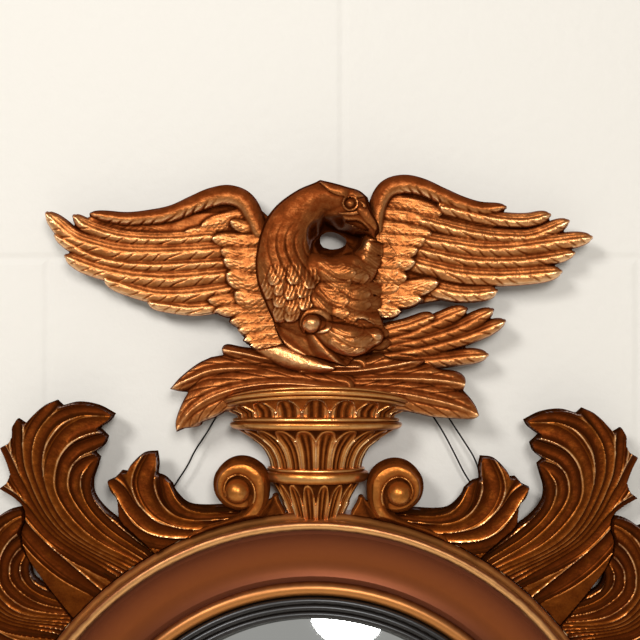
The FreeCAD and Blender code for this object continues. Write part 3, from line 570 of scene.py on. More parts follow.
left_wing = [
    web([(-34, 376), (-60, 386), (-100, 390), (-136, 396)], [28, 30, 22, 8], 6.8),
    web([(-24, 350), (-40, 345), (-52, 342)], [16, 13, 9], 7.6),
    web([(-30, 400), (-46, 412), (-80, 411), (-112, 407)], [9, 10, 8, 4], 4.6),
    stroke([(-73, 405), (-87, 403), (-109, 406.3), (-128, 408), (-152, 412.4)], [4, 4, 3.6, 3.2],
           6.4, covert, tip=0.9),
    stroke([(-36, 404), (-44.6, 422.6), (-55.5, 428.6), (-68, 427.2), (-80, 422.6), (-95, 416.4),
           (-111.5, 413.6),
            (-128, 412.9), (-149.4, 416.2)], [5.6, 6.2, 6.2, 5.4, 4.8, 4.0, 3.4], 7.6, roll, tip=0.88),
]
make_wing("left_wing", left_wing, left_quills, left_coverts, flip=1)

# %% right wing
right_quills = [
    ([(88, 420.5), (114, 414.4), (130, 412.1), (145, 412.1), (158.8, 415.6)], [4.4, 4.6, 4.2], 9.0),
    ([(74, 411.5), (97, 405.6), (114, 402.2), (130, 400.8), (148, 401.5), (171.2, 411.4)],
     [4.6, 5.0, 4.6], 8.6),
    ([(70, 399.5), (95, 395.3), (114, 392.6), (136, 393.3), (155, 396), (186.7, 400.5)],
     [5.2, 5.6, 5.0], 9.2),
    ([(68, 392.5), (95, 386.5), (114, 384.2), (136, 384.4), (155, 386.5), (175, 390)], [4.6, 4.8, 4.4], 8.8),
    ([(64, 384), (92, 376.9), (114, 374.2), (136, 374.5), (152, 375.8), (166.2, 377.6)],
     [5.4, 5.8, 5.2], 9.0),
    ([(60, 372), (84, 365.3), (97.5, 362.6), (111, 362.6), (122.9, 364.6)], [4.8, 5.4, 4.6], 8.6),
]
right_coverts = [
    ([(46, 424.5), (64, 422), (86, 416)], [5.0, 5.6], 8.0),
    ([(44, 417), (67, 412.4), (81, 408.2)], [4.6, 4.8], 8.8),
    ([(40, 408), (64, 404.2), (79, 402.8)], [5.2, 5.2], 9.8),
    ([(38, 400), (62, 396.7), (75, 399)], [5.0, 5.4], 10.6),
    ([(36, 392.5), (56, 389.9), (69.8, 392)], [4.8, 5.2], 11.2),
    ([(34, 386), (54, 382.4), (68, 383.8)], [4.8, 5.4], 11.6),
    ([(34, 378.5), (52, 373.9), (62.6, 373.9)], [5.0, 5.8], 12.0),
    ([(36, 371), (62, 365.7), (83.4, 370.2)], [5.2, 6.0], 11.4),
    ([(30, 366), (51, 359.2), (72.2, 358.9)], [6.0, 6.4], 11.8),
    ([(26, 359), (45.7, 352.2), (58.6, 350.6)], [5.8, 6.0], 12.0),
]
right_wing = [
    web([(60, 386), (75, 386), (110, 389), (142, 393)], [30, 27, 20, 9], 6.8),
    web([(42, 404), (56, 420), (84, 417), (114, 411)], [9, 11, 8, 4], 4.6),
    stroke([(84, 416), (100, 410.5), (122, 408.5)], [3.8, 3.6, 3.2], 6.4, covert, flip=-1),
    stroke([(42.3, 406), (43.7, 421.9), (49.8, 432.6), (60.7, 436), (73, 434), (86.6, 428.1), (100, 422.6),
            (114, 419.4), (129, 420.8)], [4.6, 5.6, 6.0, 5.4, 5.0, 4.4, 3.6], 7.6, roll, tip=0.88, flip=-1),
]
make_wing("right_wing", right_wing, right_quills, right_coverts, flip=-1)

# %% [markdown]
# ## Tail
# Five long feathers fan out to the right below the wing. They are the wing's quills again, wider and
# without the coverts.

# %% tail
tail_quills = [
    ([(30, 332), (50, 337.4), (65, 341.5), (81, 347.8)], [4.8, 5.0, 4.6], 11.4),
    ([(32, 328), (62, 334.6), (81, 342.8), (102.6, 352.4)], [5.2, 5.4, 5.0], 10.8),
    ([(32, 324), (67, 330.5), (92, 337.4), (107, 344.2), (120.3, 351.7)], [5.0, 5.2, 4.8], 10.4),
    ([(32, 319), (70, 325.1), (95, 331.2), (111, 336.7), (128.3, 344.3)], [5.0, 5.2, 4.6], 10.0),
    ([(36, 317), (67, 316.8), (87, 318.4), (103, 320.4), (116.8, 321.5)], [4.6, 5.2, 4.6], 9.6),
]
tail = [web([(28, 326), (60, 328), (92, 335)], [12, 11, 7], 6.4)]
tail += [stroke(p, w, h, quill, tip=0.84, flip=-1) for p, w, h in tail_quills]
tail_field = relief_field(tail, wing_step)
tail_mesh = relief_mesh(tail_field, wing_step, base=0.31, foot=5.0, draft=4.0, sunk=0.3)
make_piece("tail_carving", *tail_mesh, bird_gilding, "eagle_tail")

# %% [markdown]
# ## Eagle
# The neck loops up and over, so that the head looks back across an opening that goes right through.
# Body, neck, head and legs are broad arched strokes. The plumage is painted on them in order: scales
# on the breast, then rows of feathers over side and thigh, a few of which lie over wing and tail.


# %% eagle body
def neck_lines(run, share, s, w):
    """Plump neck with flowing grooves, which fade towards the head."""
    body = 14 * np.sqrt(np.clip(1 - (s * 0.96) ** 2, 0, 1))
    fade = np.clip((0.66 - share) * 5, 0, 1) * np.clip(share * 5 - 0.6, 0, 1)
    lines = np.abs(np.sin(np.pi * 3.1 * (s + 0.2 * np.sin(run / 12))))
    return body - 1.1 * (1 - lines) ** 3 * fade * np.clip(1.0 - s * 1.3, 0, 1)


def dot(x, z, radius, height, shape):
    """A round stroke: the shape runs from its middle to its edge."""
    return stroke([(x - 0.1, z), (x + 0.1, z)], [radius], height, shape, tip=1.0, slope=4.0)


eagle_outline = closed_outline([
    [(14.1, 437), (22.5, 434.6), (30.9, 432), (36.5, 427.5)],
    [(38.5, 421), (41, 415.4), (44.1, 409.8), (45, 404.5), (42.7, 400.4)],
    [(44.5, 394), (43, 382), (41, 370), (42, 358), (46, 347), (49, 337), (46, 327.5), (36, 321),
     (28.8, 318.5)],
    [(22.5, 311.4)],
    [(12, 315), (0.8, 318.4), (-12.4, 321.1), (-21, 328.5), (-26.1, 338.6), (-27.5, 344)],
    [(-32, 353.9), (-36.2, 363.8), (-38.7, 372.1), (-39.6, 381.9), (-39, 389), (-36.9, 400), (-33.4, 409.8),
     (-29.2, 416.8), (-23.6, 423.1), (-16.6, 428.6), (-8.3, 433.6), (0.1, 437), (4.6, 439.2)],
])
hole_outline = closed_outline([
    [(4.6, 397), (5, 401.5), (9.5, 404.4), (15.5, 403.8), (21, 400.6), (22.2, 397), (18.5, 393.8),
     (12, 392.8), (6.5, 394.2)], [(4.6, 397)],
])


def eagle_edge(x, z):
    """Inside the bird's outline or a feather over wing or tail, and outside the hole of its bent neck."""
    edge = np.minimum(inside_outline(x, z, eagle_outline), -inside_outline(x, z, hole_outline))
    for row in overlaps:
        edge = np.maximum(edge, read_stroke(row, x, z)[1])
    return edge


def limb(points, widths, heights, shape, slope=2.5):
    """A stroke of the body: open at both ends, with a broad skirt."""
    return stroke(points, widths, heights, shape, tip=1.0, slope=slope, skirt=4)


eagle = [
    stroke([(2, 356), (8, 344), (14, 334)], [44, 46, 40], [6, 6, 6], arched(20), tip=1.0, skirt=20),
    limb([(-2, 350), (-14, 362), (-20.5, 382), (-19.5, 401), (-10, 416.5), (4, 426), (16, 426.5)],
         [20, 20, 19.5, 18.4, 16.5, 13, 11.5], [16, 18, 20, 20, 20, 21, 22], neck_lines, slope=5.0),
    limb([(4, 426), (16, 424.5), (27, 419.5), (36, 411.5), (42.5, 402.5)], [13, 13.4, 13.4, 10, 4],
         [20, 23, 24, 23, 19], arched(10), slope=5.0),
    limb([(40, 401), (38, 389), (30, 377)], [6, 9, 11], [9, 11, 14], arched(9)),
    limb([(-16, 383), (6, 378), (26, 378)], [9, 10, 10], [20, 20, 18], arched(8)),
    limb([(4, 340), (14, 334), (27, 331), (40, 334)], [6, 9, 9.5, 6], [26, 28, 26, 20], arched(7)),
    stroke([(-4, 341), (7, 327), (21, 312.5)], [8, 9.5, 4], [20, 22, 19], fluted(2, 1.3, 8),
           tip=0.95, slope=2),
    stroke([(10, 331), (20, 325), (28, 318)], [7, 8, 4], [23, 24, 20], fluted(3, 0.9, 4), tip=0.8, slope=3),
    stroke([(-27, 344), (-19, 331), (1, 318.5)], [3.5, 7, 3], [17, 20, 19], fluted(2, 0.9, 5),
           tip=0.9, slope=4),
    dot(-0.8, 342.6, 5.8, 31.5, arched(5.5)),
]


# %% eagle plumage
def plume(run, share, s, w):
    """Thin lifted feather: highest at its tip, with soft lines along it."""
    lines = 0.26 * np.cos(2 * np.pi * s * w / 2.6)
    fade = np.clip((1 - share) * 4, 0, 1) * np.clip(share * 5, 0, 1)
    return 3.3 * share * (1 - 0.5 * s * s) + (lines - 0.2 * nicks(run, s, w, 4.2, 0.6)) * fade


def feather(start, end, half, curl, shape, tip):
    """One feather from start to end, bowed sideways by curl times its length."""
    (x0, z0), (x1, z1) = start, end
    bow = ((x0 + x1) / 2 - curl * (z1 - z0), (z0 + z1) / 2 + curl * (x1 - x0))
    return stroke([start, bow, end], [half * 0.8, half], 0.0, shape, tip=tip)


breast_rows = [((-22, 347), (-6, 346), 2), ((-28, 355), (0, 352), 3),
               ((-32, 363.5), (3, 361), 4), ((-31, 372), (2, 369), 3)]
scales = []
for row, (left, right, count) in enumerate(breast_rows):
    for k in range(count):
        t = (k + 0.5 * (row % 2)) / count
        x = left[0] + (right[0] - left[0]) * t + 1.6 * math.sin(5 * k + row)
        z = left[1] + (right[1] - left[1]) * t + 2.0 * math.sin(3 * k + 2 * row)
        lean = 1.0 + 3.0 * (1 - t)
        scales.append(feather((x + lean, z + 12), (x - lean * 0.6, z - 3), 6.2, 0.08, plume, 0.5))
overlaps = []
side_rows = [((30, 352), (1.0, 9.0), 6, (24, -5)), ((16, 347), (0.6, 8.4), 5, (21, -7)),
             ((4, 358), (0.8, 8.6), 4, (19, -9)), ((29, 327), (1.5, 7.0), 3, (22, -3)),
             ((12, 331), (0.5, 6.6), 3, (23, -6))]
rows_over_wing_and_tail = (0, 3)
for row, ((x, z), (dx, dz), count, (reach, fall)) in enumerate(side_rows):
    for k in range(count):
        start = (x + dx * k + 1.8 * math.sin(5 * k + 2 * row), z + dz * k + 1.2 * math.sin(3 * k + row))
        end = (start[0] + reach + 2.5 * math.sin(4 * k + row),
               start[1] + fall + 2.5 * math.sin(7 * k + 3 * row))
        scales.append(feather(start, end, 5.8, -0.12, covert, 0.6))
        if row in rows_over_wing_and_tail and k > 0:
            overlaps.append(scales[-1])
eye = (24.2, 421)
scales += [
    stroke([(-6, 337.5), (-7.4, 343), (-3.5, 349.5), (4, 350.4), (10, 346), (9.5, 339.5), (3, 336.6)],
           [0.9, 1.6, 2.0, 2.0, 1.8, 1.0], 1.0, arched(1.0), tip=0.9),
    stroke([(5, 436.5), (14, 431.6), (23, 429.2), (34, 426.6)], [2.2, 4.4, 4.2, 2.8], 1.2, arched(1.2),
           tip=0.75),
    dot(*eye, 5.2, 1.5, arched(0.0)), dot(*eye, 3.9, 0.0, arched(0.0)), dot(*eye, 2.6, 0.2, arched(2.4)),
    stroke([(17, 414.6), (25, 414.2), (31, 416.2), (33.4, 419.5), (31, 422)], [0.7, 1.1, 1.2, 0.9],
           0.9, arched(0.9), tip=0.9),
    stroke([(31, 416.5), (37, 412), (41, 406.5), (42.8, 402)], [2.4, 4.0, 3.4, 1.6], 0.1, arched(1.5),
           tip=0.9),
    stroke([(20, 406.4), (28, 404.6), (36, 401)], [1.4, 2.4, 1.6], 0.4, arched(1.2), tip=0.9),
    stroke([(22, 409.6), (29, 407.8), (36.5, 403.6)], [0.9, 2.1, 0.8], -3.4, arched(0.0), tip=0.9),
]

# %% eagle surface
eagle_step, wing_level, blend = 0.48, 12.4, 2.0
bird_x, bird_z, body, edge = relief_field(eagle, eagle_step, eagle_edge)
# The body sinks to the wing's level at its right border, but not at the beak or near the feet.
to_wing = wing_level + 0.8 * np.clip(45 - bird_x, 0, 90) + 12 * np.clip(bird_z - 397, 0, 9)
to_wing += 1.4 * np.clip(350 - bird_z, 0, 30)
body = np.maximum(body, np.where(bird_x > 34, wing_level, 0))
body = -blend * np.logaddexp(-body / blend, -to_wing / blend)
body = painted(body, scales, bird_x[:, 0], bird_z[0], bird_x, bird_z)
# The opening under the neck has sloping sides, steeper to the right. Its inside is darkened as painted shade,
# and the neck and head are darker.
slant = 3.0 + 0.25 * np.clip(bird_x - 19, 0, 20)
funnel = 1 - slant * inside_outline(bird_x, bird_z, hole_outline)
in_hole = np.clip((body - funnel) / 4, 0, 1)
on_neck = np.clip((bird_z - 368) / 18, 0, 1)
on_neck *= np.clip(np.maximum((32 - bird_x) / 10, (bird_z - 396) / 4), 0, 1)
# Painted shade inside the opening, and a darker neck and head.
glaze = np.maximum(0.9 * in_hole, 0.42 * on_neck)
eagle_field = bird_x, bird_z, np.minimum(body, funnel), edge
eagle_mesh = relief_mesh(eagle_field, eagle_step, base=0.44, foot=6.0, draft=7.0, glaze_and_shade=glaze)
make_piece("eagle_carving", *eagle_mesh, bird_gilding, "eagle_body")

# %% [markdown]
# ## Leaf bed
# The bird stands on a bed of six broad leaves that hang over the urn's rim. They are crowned strokes
# with a midrib, two long grooves and slanting side veins. The mound at the bird's foot is made brighter.

# %% leaf bed
bed_outline = closed_outline([
    [(-61.5, 326), (-58, 328.8), (-48, 327), (-38, 326)], [(-20, 330)], [(40, 330)],
    [(52, 320), (73.6, 319.4)], [(84, 312.5), (96.7, 310.5), (102.4, 305.4), (101, 297.6)],
    [(106, 292), (109.4, 286.8), (111.6, 280.9)], [(106.5, 278.2), (91.2, 278.8), (80.2, 279.6)],
    [(60, 284)], [(-58, 284)], [(-65.6, 279.6), (-74.4, 276.4)],
    [(-76.6, 273.6), (-86.5, 272)], [(-92, 269.6)], [(-92.6, 277), (-88.9, 287.9), (-84.3, 296.4)],
    [(-90, 297), (-96.5, 298.6)], [(-89, 307), (-78, 315.6), (-69, 320)], [(-60.6, 321.5)],
])
bed_leaves = [
    ([(0, 309), (-40, 312.5), (-65, 312), (-82, 306), (-97, 298.5)], [8, 9, 9, 8.5], [13, 14, 14, 13]),
    ([(20, 300), (-18, 303), (-44, 301), (-65, 295), (-81, 285), (-92, 270)],
     [9, 10, 11, 12, 11.5], [20, 19, 17, 15]),
    ([(30, 314), (-3, 315), (-29, 319), (-47, 323), (-62, 325.5)], [8, 8.5, 8, 7], [17, 17, 15.5, 14]),
    ([(0, 305), (42, 306), (67, 306), (88, 304.5), (103, 301.5)], [8, 9, 9.5, 9.5], [15, 15, 14]),
    ([(-16, 300), (50, 297), (75.6, 293), (97, 287.4), (112, 280.6)], [9, 10, 11, 10.5], [19, 17, 15]),
    ([(-8, 311), (23, 311), (45, 313.5), (74, 319)], [8, 8.5, 7.5], [17.5, 16.5, 15]),
]
bed = [web([(-44, 303), (0, 303), (50, 302)], [16, 18, 16], 12),
       web([(-50, 318), (0, 318), (46, 316)], [10, 14, 10], 11)]
bed += [stroke(p, w, h, veined(4.2), tip=0.7, point=1.6, slope=2.5, skirt=4) for p, w, h in bed_leaves]
mound = stroke([(-45, 331), (-32, 327), (-14, 319), (2, 314.5), (14, 313)], [3, 6, 7, 5.5, 3],
               [17, 19, 20, 20], arched(4), tip=0.9)
bed_step = 0.5


def bed_edge(x, z):
    return inside_outline(x, z, bed_outline)


bed_field = relief_field(bed + [mound], bed_step, bed_edge)
# Brighter on the mound.
mound_brightening = -0.8 * np.clip(read_stroke(mound, bed_field[0], bed_field[1])[1] / 5, 0, 1)
bed_mesh = relief_mesh(bed_field, bed_step, base=0.34, foot=5.0, draft=9.0, glaze_and_shade=mound_brightening, sunk=0.4)
make_piece("leaf_bed_carving", *bed_mesh, bird_gilding, "leaf_plinth")

# %% [markdown]
# ## Urn
# The urn is half of a turned vase, flat at the back. Its surface is a function of the height on its
# profile and the angle round it. Rings of pointed petals are cut into the cup, the bell and the cove
# under the rim, which tips forward so that its edge reads as an arch.


# %% urn
def petals(angle, v, count, arch, gap):
    """A ring of pointed petals: a raised outline, a fluted hollow inside, and a gap sunk between them."""
    a = (angle / np.pi * count) % 1 - 0.5
    top = 0.95 - arch * np.abs(2 * a) ** 2.2
    edge, side = top - v, 0.5 - np.abs(a)
    inside = np.clip(edge * 30, 0, 1)
    line = np.maximum(bump(edge, 0.04), bump(side, 0.055) * inside)
    hollow = -1.2 * (1 - (2 * a) ** 2) * inside - gap * (1 - inside)
    fine = 0.65 * np.cos(6 * np.pi * a) * inside * np.clip(edge * 5, 0, 1)
    return 1.5 * line + hollow + fine


def moulding(rows, count, bulge=0.0):
    """A stretch of profile: rows of (half-width, z, rise, depth) read evenly, with an optional bead."""
    t = np.linspace(0, 1, count)
    table = np.array([spread(column, t) for column in zip(*rows)])
    swell = bulge * np.sqrt(np.clip(1 - (2 * t - 1) ** 2, 0, 1))
    table[0] += swell
    table[3] += swell * 0.8
    return table, t


urn_middle = 1.8
fullness = 0.76


def turned(half, z, rise=0.0, depth=None):
    """One row of the profile; its depth follows from the urn's fullness unless it is given."""
    return (half, z, rise, half * fullness if depth is None else depth)


urn_stretches = [
    ([turned(0.5, 205.5, 0, 0.5), turned(17, 205.5)], 4, 0.0, None),
    ([turned(17, 206), turned(18.4, 213), turned(21.5, 221), turned(25.5, 229), turned(30.5, 236.3)],
     70, 0.0, (8, 0.42, 1.8)),
    ([turned(32.4, 236.4), turned(33.2, 243.6, 0.3)], 20, 2.9, None),
    ([turned(32.4, 243.6, 0.3), turned(32, 246, 0.3)], 6, 0.8, None),
    ([turned(30, 246.2, 0.3), turned(31.5, 252, 0.5), turned(36, 259.4, 1), turned(44, 265.6, 1.6),
      turned(54, 271.4, 2.2)], 90, 0.0, (10, 0.24, 1.8)),
    ([turned(54, 271.2, 2.2), turned(56, 276.2, 2.6)], 18, 3.0, None),
    ([turned(55, 276.3, 2.7), turned(54, 279, 3.2)], 10, 1.9, None),
    ([turned(52, 279, 3.2, 37), turned(53, 280.6, 6.5, 38), turned(60, 283, 11, 42)],
     50, 0.0, (9, 0.6, 0.9)),
    ([turned(63, 282.8, 11.2, 44), turned(65, 284.4, 12, 45)], 8, 1.3, None),
    ([turned(64.5, 284.5, 12, 44.5), turned(65.5, 287.4, 13, 45.5)], 22, 2.8, None),
    ([turned(64.5, 287.5, 13.1, 45), turned(62.5, 289.0, 13.6, 44)], 10, 1.4, None),
    ([turned(58, 289.0, 13.6, 42), turned(0.5, 289.0, 1, 0.5)], 8, 0.0, None),
]
angle = np.linspace(0, np.pi, 300)[None, :]
strips, marks = [], []
for rows, count, bulge, ring in urn_stretches:
    table, t = moulding(rows, count, bulge)
    half, height, rise, depth = table[..., None]
    if ring is None:
        cut = np.zeros((count, angle.size))
        marks.append(cut + 0.34 + 0.40 * np.sin(np.pi * t)[:, None] ** 2)
    else:
        cut = petals(angle, t[:, None], *ring)
        marks.append(np.clip(0.68 + 0.46 * cut, 0, 1))
    strips.append(np.stack([
        urn_middle - (half + cut) * np.cos(angle),
        -carving_back - (depth + cut) * np.sin(angle),
        height + rise * np.sin(angle),
    ], axis=-1))
urn_points, urn_gilt = np.concatenate(strips), np.concatenate(marks)
margin = np.array([0.4, 0, 0])
urn_points = np.concatenate(
    [urn_points[:, :1] + margin, urn_points, urn_points[:, -1:] - margin], axis=1)
urn_gilt = np.pad(urn_gilt, [(0, 0), (1, 1)], constant_values=bare_wood)
rows_up, rows_round = urn_points.shape[:2]
number = np.arange(rows_up * rows_round).reshape(rows_up, rows_round)
front = np.stack([number[:-1, :-1], number[:-1, 1:], number[1:, 1:], number[1:, :-1]], -1)
flat = np.stack([number[:-1, -1], number[:-1, 0], number[1:, 0], number[1:, -1]], -1)
urn_faces = np.vstack([front.reshape(-1, 4), flat])
make_piece("urn_carving", urn_points.reshape(-1, 3), urn_faces, urn_gilt.ravel(), urn_gilding, "urn")

# %% [markdown]
# ## Volutes
# A scroll springs from the ring beside the urn, rolls up over the top and swells into a ball. A thin
# ridge runs along its inner edge. The right-hand one is the left one mirrored and turned a little.

# %% volutes
right_turn = 1.7
volute_middle = np.array([-48.2, 235.6])


def round_eye(degrees, radius):
    """A point round the volute's middle, counted anticlockwise from the viewer's right."""
    a = math.radians(degrees)
    return (volute_middle[0] + radius * math.cos(a), volute_middle[1] + radius * math.sin(a))


band_turns = [(-10, 12.6), (30, 11.8), (75, 11.2), (115, 11.6), (160, 12.4), (200, 12.4), (240, 12.0),
              (275, 11.8)]
filler = stroke([(-30, 205), (-27.5, 214), (-25.5, 226)], [9, 8, 1.2], [8, 9, 9], arched(1), tip=1.0)
volute = [
    dot(*volute_middle, 17.0, 17, arched(1.5)),
    stroke([(-80, 200), (-60, 205.5), (-46, 212), (-37.4, 221)] + [round_eye(*turn) for turn in band_turns],
           [3, 4.6, 4.4, 4.4, 4.8, 5.4, 6.0, 6.0, 5.4, 5.2, 5.2, 5.0],
           [12, 14, 15, 16, 17, 17, 16.5, 16], arched(4.0), tip=1.0, slope=1.6),
    dot(-50.3, 231.8, 8.3, 18.5, arched(8)),
    filler,
]
volute_ridge = [stroke(
    [(-58, 228.6), (-58.8, 234), (-55.8, 240), (-49.8, 242.2), (-43.6, 240), (-39.6, 234.4), (-39, 227),
     (-42.6, 219.4), (-50, 213), (-62, 208), (-80, 203.5)], [0.7, 0.8, 0.8, 0.8], 0.5, arched(0.7), tip=0.97)]


def clear_of_ring(x, z):
    """Distance outside the ring's edge."""
    return np.hypot(x, z) - ring_radius - 0.2


volute_step = 0.4
volute_field = relief_field(volute, volute_step, clear_of_ring, volute_ridge)
# The low wedge in the corner between scroll and urn is darkened as painted shade.
corner_shade = 0.8 * np.clip(read_stroke(filler, volute_field[0], volute_field[1])[1] / 1.5, 0, 1)
volute_mesh = relief_mesh(volute_field, volute_step, base=0.28, foot=12.0, draft=2.2, glaze_and_shade=corner_shade, sunk=0.2)
make_pair("volute", volute_mesh, urn_gilding, right_turn)

# %% [markdown]
# ## Acanthus leaves
# Every lobe is a broad gouge between two thin ridges. The lobes spring together from the ring and
# curl outwards to separate points. The inner and the outer leaf meet along one seam.

# %% acanthus leaves
leaf_seam = smooth_path([
    (-139, 330), (-139, 243), (-132, 224), (-130, 211), (-119, 200), (-104, 186), (-98, 170)])
inner_outline = closed_outline([
    [(-102, 251), (-102.6, 243.4)], [(-98, 241.7), (-93, 236.8)],
    [(-90.8, 231.8), (-83.6, 224.6), (-74, 222.6), (-56, 223)],
    [(-44, 216), (-40, 195)], [(-98, 165)], [(-145, 200)], [(-136, 218), (-134, 229), (-137, 238.4)],
    [(-131, 241), (-126.6, 245.6)], [(-122.8, 245)], [(-120, 250), (-112, 257.2), (-103, 258.4)],
])
outer_outline = closed_outline([
    [(-134, 278.6), (-141, 273.7)], [(-135.5, 268.2)], [(-138, 262.5), (-144.3, 257.7)], [(-140.7, 254.4)],
    [(-143, 247), (-145.4, 239), (-144.3, 230), (-137.7, 221), (-128, 213)], [(-90, 190)], [(-150, 138)],
    [(-166, 158), (-186, 185), (-192.5, 203), (-190, 212.5)], [(-190.6, 220), (-197, 227), (-207.6, 233.5)],
    [(-202, 238), (-200, 243.4)], [(-203, 252), (-207, 260.5)],
    [(-201, 264), (-198.5, 268.5), (-198.6, 274), (-195.5, 280)], [(-190, 276.4)],
    [(-186, 281), (-178, 288.4), (-169.6, 292.2)], [(-165.8, 288.6)],
    [(-155, 291), (-142, 288.8), (-131, 283)],
])
inner_hollows = [
    ([(-48, 212), (-81, 210.5), (-102, 220), (-111, 238), (-105, 257), (-101, 268)],
     [3.4, 4.6, 6, 7.4, 4], [13, 15, 17, 16, 14]),
    ([(-50, 205), (-98, 206), (-118, 219), (-128, 233), (-136, 239), (-146, 244)],
     [3.4, 4.6, 6.4, 6, 4], [12, 14, 15, 14, 12]),
    ([(-46, 217), (-79, 217), (-92, 225), (-97, 240), (-99, 252)], [2.4, 3.6, 5, 4], [13, 14.5, 14, 12]),
    ([(-60, 199), (-98, 199), (-119, 207), (-131, 226), (-139, 240)], [3.4, 5, 5, 4], [10, 12, 13, 12]),
    ([(-50, 221), (-74, 221), (-86, 227), (-93, 238)], [2, 2.6, 3], [12, 12.5, 11]),
]
outer_hollows = [
    ([(-112, 182), (-150, 203), (-170, 228), (-172, 250), (-164, 267), (-151, 276.4), (-133, 278.6),
      (-118, 279)],
     [2.4, 4.2, 5, 5.6, 6.6, 7, 4], [12, 15, 17, 18, 18, 17, 14]),
    ([(-110, 184), (-144, 206), (-163, 231), (-163, 249), (-156, 259.4), (-146, 264), (-135.6, 267.6),
      (-124, 271)],
     [2.4, 4, 5, 5.6, 5.6, 5, 4], [12, 14, 15.5, 16, 15.4, 14, 12]),
    ([(-108, 187), (-137, 208), (-154, 229), (-156, 243), (-150, 250.4), (-141, 254), (-130, 258)],
     [2.2, 3.8, 4.6, 5, 4.4, 3.4], [11, 13, 14, 14, 13, 11]),
    ([(-106, 190), (-132, 209), (-146, 224), (-149, 238), (-145, 249), (-139, 257)],
     [2.2, 3.6, 4, 4], [10, 12, 12.6, 12]),
    ([(-114, 180), (-160, 206), (-179, 240), (-180, 264), (-170, 280), (-152, 286.4), (-133, 284),
      (-118, 279.4)],
     [2.4, 4, 5, 5.4, 4.6, 4], [12, 15, 16.4, 17, 16.6, 15]),
    ([(-117, 178), (-164, 206), (-185, 242), (-186, 268), (-172, 290), (-164, 300)],
     [2.4, 4, 5.4, 6, 5], [12, 14, 15.4, 15.4, 13]),
    ([(-120, 177), (-168, 206), (-190, 244), (-195, 278), (-198, 290)], [2.4, 4, 5, 4], [11, 13, 13.6, 12]),
    ([(-124, 175), (-170, 204), (-193, 237), (-206, 260), (-211, 268)],
     [2.4, 4.4, 5.6, 5], [10, 12, 12.6, 11]),
    ([(-128, 173), (-170, 200), (-190, 221), (-206.5, 233), (-216, 240)],
     [2.6, 5, 5.6, 4], [9, 11, 11.6, 10]),
    ([(-138, 162), (-168, 184), (-188, 204), (-200, 222)], [3, 6, 6.4, 4], [8, 10, 10.4, 9]),
]
leaf_step = 0.52
crest_middle = np.array([4.5, 345.0])


def hollow_rows(rows, scale=1.0):
    """Hollows of a leaf as strokes without a cross-section of their own."""
    return [stroke(p, [w * scale for w in ws], h, None) for p, ws, h in rows]


def drawn_out(points):
    """Points moved outwards from the crest's middle by the little that the leaves' own depth takes."""
    return crest_middle + (np.array(points, float) - crest_middle) * 1.018


def inside_seam(x, z):
    """The inner leaf's side of the seam, clear of the ring."""
    return np.minimum(clear_of_ring(x, z), along_path(x, z, leaf_seam)[1])


def outside_seam(x, z):
    """The outer leaf's side of the seam and all above it, clear of the ring."""
    beyond = np.maximum(-0.2 - along_path(x, z, leaf_seam)[1], z - 245)
    return np.minimum(clear_of_ring(x, z), beyond)


def leaf_mesh(hollows, outline, depth, limit):
    """Mesh of a gouged leaf with steep sides."""
    field = leaf_field(hollows, outline, leaf_step, depth, limit)
    return relief_mesh(field, leaf_step, base=0.46, draft=14.0)


inner_outline, outer_outline = drawn_out(inner_outline), drawn_out(outer_outline)
inner_hollows = [(drawn_out(p), w, h) for p, w, h in inner_hollows]
outer_hollows = [(drawn_out(p), w, h) for p, w, h in outer_hollows]
inner_mesh = leaf_mesh(hollow_rows(inner_hollows), inner_outline, 3.0, inside_seam)
outer_mesh = leaf_mesh(hollow_rows(outer_hollows), outer_outline, 3.2, outside_seam)
make_pair("inner_leaf", inner_mesh, leaf_gilding, right_turn)
make_pair("outer_leaf", outer_mesh, leaf_gilding, right_turn)

# %% [markdown]
# ## Side leaves and apron
# A smaller outer leaf stands lower down on each side, drawn in towards the ring and moved round it.
# At the bottom hangs a palmette between two small leaves.

# %% side leaves
side_turn, side_reach = 14.6, 0.72
outer_edge = drawn_out(smooth_path([
    (-218, 238), (-198, 226.5), (-191, 220), (-190, 212.5), (-192.5, 203), (-186, 185), (-166, 158),
    (-140, 124)]))


def moved_round(points):
    """Points drawn in towards the ring's edge and moved round it, away from the top."""
    x, z = np.array(points, float).T
    radius = ring_radius + (np.hypot(x, z) - ring_radius) * side_reach
    a = np.arctan2(x, z) - math.radians(side_turn)
    return np.stack([radius * np.sin(a), radius * np.cos(a)], 1)


def below_outer_leaf(x, z):
    """Below the outer leaf's lower edge, clear of the ring."""
    return np.minimum(clear_of_ring(x, z), -0.3 - along_path(x, z, outer_edge)[1])


side_hollows = [(moved_round(p), w, [0.85 * v for v in h]) for p, w, h in outer_hollows]
side_outline = moved_round(outer_outline)
side_mesh = leaf_mesh(hollow_rows(side_hollows, side_reach), side_outline, 2.6, below_outer_leaf)
make_pair("side_leaf", side_mesh, leaf_gilding, right_turn)

# %% apron
palmette_half = [
    ([(4, -206), (14, -236), (24, -258), (32.6, -275.5)], [4, 7.5, 7], [12, 15, 13]),
    ([(8, -208), (26, -228), (41, -240), (55.5, -246.8)], [4, 6.5, 6.2], [11, 13.5, 12]),
]
palmette = palmette_half + [([(-x, z) for x, z in p], w, h) for p, w, h in palmette_half]
palmette += [([(0, -206), (0, -240), (0, -268), (0, -291.5)], [5, 9, 8], [13, 16.5, 14])]
apron = [web([(0, -204), (0, -226), (0, -250), (0, -272)], [40, 30, 18, 6], 9)]
apron += [stroke(p, w, h, gouge(3.0), tip=0.62, point=1.35, skirt=2.2, slope=4.0) for p, w, h in palmette]
apron_mesh = relief_mesh(relief_field(apron, leaf_step, clear_of_ring), leaf_step, base=0.46)
make_piece("apron_palmette_carving", *apron_mesh, leaf_gilding, "apron_palmette")


